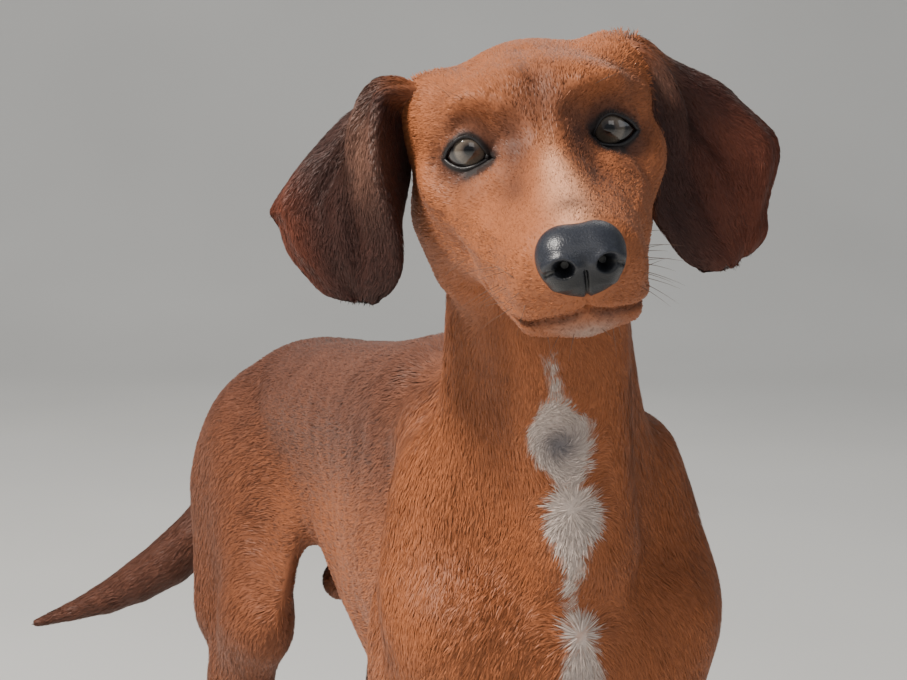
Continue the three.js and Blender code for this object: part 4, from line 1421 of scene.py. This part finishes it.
# ---- Lie of the coat ----
# Each stroke says which way the coat lies along a line, and is mirrored. First those in the head's frame.
HEAD_STROKES = [
    [(0, -92, -12), (0, -40, -2), (0, -10, 18), (0, 20, 37), (0, 60, 38), (0, 104, 16)],
    [(14, -92, -24), (18, -50, -12), (17, -20, 4), (18, -4, 22), (22, 24, 36), (26, 70, 30)],
    [(16, -98, -36), (23, -60, -32), (35, -20, -24), (47, 16, -22), (48, 60, -22)],
    [(12, -98, -50), (20, -60, -53), (29, -10, -56), (38, 40, -60)],
    [(20, -24, -12), (34, -12, -15), (47, 8, -14), (53, 40, -10)],
    [(20, -12, 12), (34, -2, 18), (46, 14, 16), (52, 40, 10)],
    [(0, -98, -60), (0, -40, -68), (0, 20, -76)],
]
BODY_STROKES = [
    [(0, 0, 520), (0, 200, 506), (0, 380, 480), (0, 430, 446)],
    [(36, 0, 488), (60, -14, 430), (66, -2, 370), (62, 4, 300)],
    [(40, 40, 480), (62, 110, 446), (56, 220, 436), (52, 330, 430)],
    [(64, 50, 410), (60, 130, 376), (46, 230, 384), (42, 300, 380)],
    [(24, 0, 290), (28, 60, 276), (30, 160, 320), (30, 300, 366)],
    [(46, 320, 440), (62, 364, 390), (64, 396, 310), (60, 412, 240)],
    [(34, 404, 456), (42, 446, 404), (46, 444, 330), (56, 430, 250)],
    [(20, 330, 390), (24, 360, 330), (34, 384, 270)],
    [(18, -104, 450), (38, -92, 410), (58, -66, 350), (60, -16, 290)],
    [(14, -92, 400), (26, -84, 350), (30, -50, 310), (24, 0, 290)],
    [(60, 4, 300), (58, -6, 200), (57, -10, 122), (57, -20, 50)],
    [(57, -36, 34), (57, -60, 22), (57, -80, 8)],
    [(56, 337, 306), (56, 384, 226), (54, 436, 150), (54, 432, 50)],
    [(54, 416, 34), (54, 394, 22), (54, 376, 8)],
]
# The pale streak of the chest, as points with half its width, and the whorls it runs through.
STREAK = [
    (-27.5, -123.8, 541.5, 2.6), (-24, -121, 524, 3.4), (-21, -118.5, 512, 9.5), (-20, -117, 502, 15),
    (-17, -116.5, 490, 8), (-14.5, -116, 479, 5), (-13, -114.6, 466, 12), (-12, -113, 452, 5.5),
    (-10, -112, 438, 3.6), (-6, -106, 420, 3.6), (-4, -101, 406, 4.5), (-3.7, -100, 392, 9.5),
    (-3, -96, 376, 4),
]
WHORLS = [
    (at(-20, -117, 500), 15, 1.0, 0.5),
    (at(-13, -114.6, 470), 14, 0.15, 1.0),
    (at(-4, -101, 408), 14, 0.0, 1.0),
]


def strokes():
    """Every stroke of the coat's lie, as lines on the body."""
    made = []
    for s in (1, -1):
        made += [on_body(side(smooth_line(line, 10), s)) for line in HEAD_STROKES]
        made += [side(smooth_line(line, 10), s) for line in BODY_STROKES]
        behind_ear = [from_head(44 * s, 56, 0), from_head(46 * s, 76, -40)]
        made.append(np.array([*behind_ear, at(48 * s, -46, 470), at(58 * s, -60, 410)]))
        throat = from_head(12 * s, 30, -74)
        made.append(np.array([throat, at(-12 + 10 * s, -104, 530), at(-6 + 12 * s, -114, 470)]))
    made.append(np.array([from_head(0, 100, 14), at(-20, -30, 560), at(0, 0, 520)]))
    made.append(smooth_line(TAIL, 14))
    return made


def coat_lie(points, normals, ears):
    """Which way the coat lies at points of the skin."""
    lie = np.zeros((len(points), 3))
    for line in strokes():
        far, way = line_distance(points, line)
        lie += (np.exp(-((far / 16) ** 2)) + 0.02 * np.exp(-far / 25) + 1e-9 / (1 + far))[:, None] * way
    hang = np.zeros((len(points), 3))
    for lines in EARS.values():
        for line in lines:
            far, way = line_distance(in_head(points), smooth_line(line, 12))
            hang += (np.exp(-((far / 14) ** 2)) + 1e-6)[:, None] * (way @ HEAD_TURN.T)
    lie = unit(lie, 1e-12)
    lie += (3 * ears)[:, None] * hang / sizes(hang)[:, None]
    for centre, reach, swirl, outward in WHORLS:
        d = points - centre
        pull = 5 * bell(sizes(d), reach)[:, None]
        away = unit(d, 1e-6)
        lie += pull * (swirl * np.cross(normals, away) + outward * away)
    lie -= (lie * normals).sum(1)[:, None] * normals
    return unit(lie)


def rough_noise(points, size, seed):
    """Smooth random values between -1 and 1, that change over about this size in millimetres."""
    shift = Vector((seed * 7.3, seed * 3.1, seed * 5.7))
    return np.array([noise.noise(Vector(p) + shift) for p in points / size])


# ---- Coat ----
NECK_PLANE = (at(0, -50, 478), at(0, -0.62, 0.78))
# How much tufts vary: their turn by patches and singly, and the shares of their length, width and depth.
SWAY_PATCHES, SWAY_EACH = 0.35, 0.16
LENGTH_SPREAD, WIDTH_SPREAD, DEPTH_SPREAD = (0.65, 1.25), (0.7, 1.2), (0.2, 0.6)
# How much their shade varies, singly and by patches, and how far the light sees each one turned.
SHADE_EACH, SHADE_PATCHES, LEAN_EACH = 0.09, 0.08, 0.34
# A tuft: how far under the skin its root lies, how far along its middle is, its corners' painted shade, its
# faces.
ROOT_UNDER, TUFT_MIDDLE = 0.15, 0.5
TUFT_PAINTED_SHADE = np.array([0.78, 0.78, 1.0, 1.0, 1.12])
TUFT_FACES = np.array([(0, 3, 1), (0, 2, 3), (2, 4, 3)])
# The patch of the map that each tuft has: its corners, and its size as a share of the map.
PATCH = 0.003 * np.array([(-0.5, -0.5), (0.5, -0.5), (-0.5, 0), (0.5, 0), (0, 0.5)])
# The coat's pieces, each with the most tufts it has.
REGIONS = {
    "head": 64000, "ears": 48000, "neck": 58000, "breast": 64000, "shoulders": 52000, "barrel": 52000,
    "rump": 46000, "forelegs": 36000, "hindlegs": 40000, "tail": 30000,
}


def region_of(points, ears):
    """The name of the coat piece that each point of the skin belongs to."""
    x, y, z = points.T
    made = np.full(len(points), "rump", dtype="<U9")
    made[y < 290] = "barrel"
    made[y < 60] = "shoulders"
    made[y < -30] = "breast"
    made[(points - NECK_PLANE[0]) @ NECK_PLANE[1] > 0] = "neck"
    made[(z < 292) & (y < 120) & (np.abs(x) > 34)] = "forelegs"
    made[(z < 300) & (y > 250)] = "hindlegs"
    made[(line_distance(points, smooth_line(TAIL[1:], 12))[0] < 32) & (y > 440)] = "tail"
    made[head_near(points) > 0.5] = "head"
    made[ears > 0.5] = "ears"
    return made


def ear_root_near(local):
    """How near points in the head's frame are to the fluffy hair over an ear's root: 1 there, 0 elsewhere."""
    return sum(bell(sizes(local - at(44 * s, 42, 22 + 3 * s)), 9) for s in (1, -1))


def coat_length(points, ears):
    """How long the coat is at points of the skin, in millimetres."""
    local = in_head(points)
    head, paw = head_near(points), paw_near(points)
    y, z = points[:, 1], points[:, 2]
    length = 7.0 - 2.0 * (1 - smooth_step(z, 150, 300)) + 1.0 * bell(y + 90, 50) * smooth_step(z, 330, 420)
    length += 4.0 * smooth_step(y, 420, 450) * smooth_step(z, 240, 330)
    face = 2.2 + 2.4 * smooth_step(local[:, 1], -70, 60)
    length = length * (1 - head) + face * head
    length = length * (1 - paw) + 4.0 * paw
    for _, pick, _, beside in near_eyes(local, 30):
        length[pick] *= 0.35 + 0.65 * smooth_step(beside, 1, 9)
    pick = np.flatnonzero(head > 0.5)
    for line in lips():
        length[pick] *= 0.5 + 0.5 * smooth_step(line_distance(points[pick], line)[0], 1, 7)
    length += 7 * ear_root_near(local)
    return length * (1 - ears) + 5.0 * ears


def coat_thickness(points, ears):
    """How thick the coat's share of tufts is: 0 where the skin is bare."""
    local = in_head(points)
    made = 1 + 1.6 * head_near(points) * (1 - 0.4 * smooth_step(local[:, 1], 30, 80)) + 0.5 * ears
    made += 0.8 * bell(points[:, 1] + 100, 60) + 0.8 * paw_near(points)
    made[nose_flesh().measure(local) < 0] = 0
    for _, pick, far, beside in near_eyes(local, 24):
        clear = smooth_step(np.abs(far - EYE_RADIUS - LID), 3, 6)
        made[pick] *= np.maximum(smooth_step(beside, 0.6, 1.6), clear)
    for line in lips():
        made *= smooth_step(line_distance(points, line)[0], 0.8, 1.8)
    return made


def blade_wide(points, ears):
    """How wide a tuft is, in millimetres: finest on the face, ears and feet."""
    fine = np.maximum(np.maximum(head_near(points), paw_near(points)), ears)
    return 0.78 - 0.4 * fine - 0.2 * bell(points[:, 1] + 100, 70) * (1 - fine)


def skin_parts():
    """The finished skin's points on the body, its normals, triangles, map and stored lie."""
    mesh = bpy.data.objects["skin"].data
    mesh.calc_loop_triangles()
    chart = held(mesh.uv_layers["OFBake"].data, "uv", 2)
    return (
        unplaced(read_points(mesh)),
        read_normals(mesh),
        held(mesh.loop_triangles, "vertices", 3, np.int32),
        chart[held(mesh.loop_triangles, "loops", 3, np.int32)],
        held(mesh.attributes["lie"].data, "vector", 3),
        held(mesh.attributes["on_ears"].data, "value"),
    )


def nearest_skin(tree, points):
    """For each point, the nearest one of the skin and the skin's normal there."""
    found = [tree.find_nearest(Vector(p))[:2] for p in points]
    return np.array([f[0] for f in found]), np.array([f[1] for f in found])


def sow(skin, region, hound, dice):
    """Where a piece's tufts stand: their roots, the skin's lie and normal, how much on an ear, their map."""
    points, normals, triangles, charts, lies, ears = skin
    centres = points[triangles].mean(1)
    a, b, c = (points[triangles[:, i]] for i in range(3))
    area = sizes(np.cross(b - a, c - a)) / 2
    share = area * coat_thickness(centres, ears[triangles].mean(1))
    share[region_of(centres, ears[triangles].mean(1)) != region] = 0
    count = int(min(share.sum(), REGIONS[region]) * hound.density)
    pick = np.searchsorted(np.cumsum(share) / share.sum(), dice.random(count))
    u, v = dice.random(count), dice.random(count)
    over = u + v > 1
    u[over], v[over] = 1 - u[over], 1 - v[over]
    weights = np.stack([1 - u - v, u, v], 1)[:, :, None]

    def blended(values):
        return (values * weights).sum(1)

    return (
        blended(points[triangles[pick]]),
        blended(lies[triangles[pick]]),
        unit(blended(normals[triangles[pick]])),
        blended(ears[triangles[pick]][:, :, None])[:, 0],
        blended(charts[pick]),
    )


def lay_tufts(skin, roots, way, normal, on_ear, dice):
    """The corners of tufts laid close over the skin, the skin's normal at each, and the way across a tuft."""
    count = len(roots)
    sway = SWAY_PATCHES * rough_noise(roots, 7, 1) + SWAY_EACH * dice.standard_normal(count)
    way = unit(way + np.cross(normal, way) * sway[:, None])
    across = unit(np.cross(normal, way))
    length = coat_length(roots, on_ear) * dice.uniform(*LENGTH_SPREAD, count)
    wide = blade_wide(roots, on_ear) * dice.uniform(*WIDTH_SPREAD, count)
    deep = coat_depth(roots) * dice.uniform(*DEPTH_SPREAD, count) * (1 + 0.4 * rough_noise(roots, 11, 2))
    deep += 7 * ear_root_near(in_head(roots)) * dice.random(count) ** 2 * (1 - on_ear)
    tree = BVHTree.FromPolygons(skin[0].tolist(), skin[2].tolist())
    middle, middle_normal = nearest_skin(tree, roots + way * (length * TUFT_MIDDLE)[:, None])
    tip, tip_normal = nearest_skin(tree, roots + way * length[:, None])
    far = sizes(tip - roots) > 0.45 * length
    tip = np.where(far[:, None], tip, roots + way * (0.4 * length)[:, None])
    half = across * (wide / 2)[:, None]
    base = roots - normal * ROOT_UNDER
    middle = middle + middle_normal * (deep * 0.7)[:, None]
    tip = tip + tip_normal * deep[:, None]
    corners = np.stack([base - half * 0.7, base + half * 0.7, middle - half, middle + half, tip], 1)
    return corners, np.stack([normal, normal, middle_normal, middle_normal, tip_normal], 1), across


def build_coat(region, hound):
    """One piece of the coat: many thin flat tufts that follow its lie, close over the skin."""
    skin = skin_parts()
    dice = np.random.default_rng(hound.seed + list(REGIONS).index(region))
    roots, way, normal, on_ear, chart = sow(skin, region, hound, dice)
    corners, faced, across = lay_tufts(skin, roots, way, normal, on_ear, dice)
    count = len(roots)
    faces = TUFT_FACES + 5 * np.arange(count)[:, None, None]
    piece = mesh_object("coat_" + region, placed(corners.reshape(-1, 3)), faces.reshape(-1, 3))

    light = 1 + SHADE_EACH * dice.standard_normal(count)
    light += SHADE_PATCHES * (rough_noise(roots, 5, 3) + rough_noise(roots, 22, 4))
    tint = coat_colour(roots, on_ear, hound) * np.clip(light, 0.55, 1.6)[:, None]
    # Painted shade on each tuft: darker at its root, where it lies under other tufts, and lighter at its tip.
    add_tone(piece.data, np.clip(tint[:, None] * TUFT_PAINTED_SHADE[:, None], 0, 1).reshape(-1, 3))

    flat = (chart[:, None] + PATCH).reshape(-1, 2)
    layer = piece.data.uv_layers.new(name="OFBake")
    put(layer.data, "uv", flat[held(piece.data.loops, "vertex_index", kind=np.int32)])
    finish_piece(piece, coat_material("hound coat", 0.1, 0.55))

    lean = across * (LEAN_EACH * dice.standard_normal(count))[:, None]
    piece.data.normals_split_custom_set_from_vertices(unit((faced + lean[:, None]).reshape(-1, 3)))


# ---- Stage ----
CAMERA_AT = at(-343.7, -946.0, 667.6)
CAMERA_AZIMUTH, CAMERA_PITCH, LENS = 18.3, 7.74, 81.8
# The floor, in metres: how far it runs to its sides, where its bend starts, the bend's radius, its top.
FLOOR_REACH, FLOOR_BACK, FLOOR_BEND, WALL_TALL = 14, 3.2, 1.6, 9


def area_light(name, where, aim, size, power, colour=(1, 1, 1)):
    """A square soft light that shines from one place at another."""
    light = bpy.data.lights.new(name, "AREA")
    light.shape, light.size, light.energy, light.color = "SQUARE", size, power, colour
    lamp = bpy.data.objects.new(name, light)
    bpy.context.collection.objects.link(lamp)
    lamp.location = where
    lamp.rotation_euler = (Vector(aim) - Vector(where)).to_track_quat("-Z", "Y").to_euler()


def build_stage(hound):
    """A pale floor that curves up behind, soft lights and the camera."""
    profile = [(-FLOOR_REACH, 0)]
    for a in np.linspace(0, math.pi / 2, 16):
        profile.append((FLOOR_BACK + FLOOR_BEND * math.sin(a), FLOOR_BEND - FLOOR_BEND * math.cos(a)))
    profile.append((FLOOR_BACK + FLOOR_BEND, WALL_TALL))
    turn = Matrix.Rotation(math.radians(-CAMERA_AZIMUTH), 3, "Z")
    points = [turn @ Vector((x, y, z)) for y, z in profile for x in (-FLOOR_REACH, FLOOR_REACH)]
    faces = [(2 * i, 2 * i + 1, 2 * i + 3, 2 * i + 2) for i in range(len(profile) - 1)]
    floor = mesh_object("studio_floor", points, faces)
    material, tree, principled = new_material("pale floor")
    cloud = add_node(tree, "ShaderNodeTexNoise", {"Scale": 1.5, "Vector": own_place(tree)})
    tint = ramp(tree, cloud.outputs["Fac"], [(0.3, tone(205, 205, 203)), (0.7, tone(212, 212, 210))])
    feed(tree, principled, {"Base Color": tint, "Roughness": 0.8})
    floor.data.materials.append(material)
    alone(floor)
    bpy.ops.object.shade_smooth()

    world = bpy.data.worlds.new("studio")
    bpy.context.scene.world = world
    world.use_nodes = True
    background = world.node_tree.nodes["Background"]
    feed(world.node_tree, background, {"Color": (0.72, 0.78, 0.86, 1), "Strength": 0.3})
    middle_of_dog = (0, 0, 0.4)
    area_light("key", (-2.3, -0.35, 3.0), (0, -0.2, 0.5), 0.6, 235, (1.0, 0.94, 0.86))
    area_light("front", (-0.6, -3.0, 2.0), (0, -0.2, 0.5), 1.6, 14, (1.0, 0.97, 0.94))
    area_light("fill", (2.4, -2.0, 1.6), middle_of_dog, 1.8, 10, (0.86, 0.92, 1.0))
    area_light("rim", (1.2, 2.2, 2.4), middle_of_dog, 1.2, 12, (1.0, 0.97, 0.92))

    view = bpy.data.cameras.new("camera")
    view.lens, view.sensor_width = LENS, 36
    view.clip_start, view.clip_end = 0.05, 60
    camera = bpy.data.objects.new("camera", view)
    bpy.context.collection.objects.link(camera)
    camera.location = placed(CAMERA_AT)
    camera.rotation_euler = (math.radians(90 - CAMERA_PITCH), 0, math.radians(-CAMERA_AZIMUTH))
    bpy.context.scene.camera = camera


# ---- Add-on ----
def colour_property(name, text, default):
    """A colour that a user can change."""
    return FloatVectorProperty(
        name=name, description=text, subtype="COLOR", size=3, min=0, max=1, default=tuple(default),
    )


class HoundShape(bpy.types.PropertyGroup):
    voxel: FloatProperty(
        name="Skin Grain", description="Size of the faces of the skin before the face is refined",
        default=0.0046, min=0.002, max=0.02, subtype="DISTANCE", unit="LENGTH",
    )
    face_cuts: IntProperty(
        name="Face Cuts", description="How many times the faces of the head are cut", default=2, min=0, max=4,
    )
    density: FloatProperty(
        name="Coat Density", description="Share of the coat's tufts that are made", default=1.0, min=0.01,
        max=1,
    )
    seed: IntProperty(name="Seed", description="Start of the random choices", default=7, min=0)
    body_colour: colour_property("Body Colour", "Red-brown of the sides, neck and legs", RED)
    ear_colour: colour_property("Ear Colour", "Dark brown of the ears", EAR_TONE)
    streak_colour: colour_property("Streak Colour", "Pale streak down the chest", WHITE)
    nose_colour: colour_property("Nose Colour", "Dark grey of the nose leather", NOSE_TONE)
    claw_colour: colour_property("Claw Colour", "Horn of the claws", CLAW_TONE)


def piece_operator(action, label, text, build):
    """An operator that builds one piece or group of the hound."""
    def execute(self, context):
        build(context.scene.hound_shape)
        return {"FINISHED"}

    return type(
        "HOUND_OT_" + action, (bpy.types.Operator,),
        {"bl_idname": "hound." + action, "bl_label": label, "bl_description": text, "__doc__": text,
         "bl_options": {"REGISTER", "UNDO"}, "execute": execute},
    )


PIECES = [
    piece_operator("skin", "Build Skin", "Builds the one skin of the whole dog", build_skin),
    piece_operator("eyes", "Build Eyes", "Builds both eyes", build_eyes),
    piece_operator("lid_rims", "Build Lid Rims", "Builds the dark rims of the lids", build_lid_rims),
    piece_operator("whiskers", "Build Whiskers", "Builds the whiskers and lashes", build_whiskers),
    piece_operator("nose", "Build Nose", "Builds the leather of the nose", build_nose),
    piece_operator("claws", "Build Claws", "Builds the claws", build_claws),
    *[
        piece_operator(
            "coat_" + region, "Build Coat: " + region.title(), f"Builds the coat of the {region}",
            functools.partial(build_coat, region),
        )
        for region in REGIONS
    ],
    piece_operator("stage", "Build Stage", "Builds the floor, lights and camera", build_stage),
]


class HOUND_PT_panel(bpy.types.Panel):
    """The sidebar panel with the hound's sizes and colours and the steps that build it."""

    bl_idname = "HOUND_PT_panel"
    bl_label = "Standing Hound"
    bl_space_type = "VIEW_3D"
    bl_region_type = "UI"
    bl_category = "Hound"

    def draw(self, context):
        shape = context.scene.hound_shape
        for name in HoundShape.__annotations__:
            self.layout.prop(shape, name)
        for piece in PIECES:
            self.layout.operator(piece.bl_idname)


CLASSES = [HoundShape, *PIECES, HOUND_PT_panel]


def register():
    for made in CLASSES:
        bpy.utils.register_class(made)
    bpy.types.Scene.hound_shape = PointerProperty(type=HoundShape)


def unregister():
    del bpy.types.Scene.hound_shape
    for made in reversed(CLASSES):
        bpy.utils.unregister_class(made)


def main():
    register()
    for piece in PIECES:
        area, action = piece.bl_idname.split(".")
        getattr(getattr(bpy.ops, area), action)()


if __name__ == "__main__":
    main()
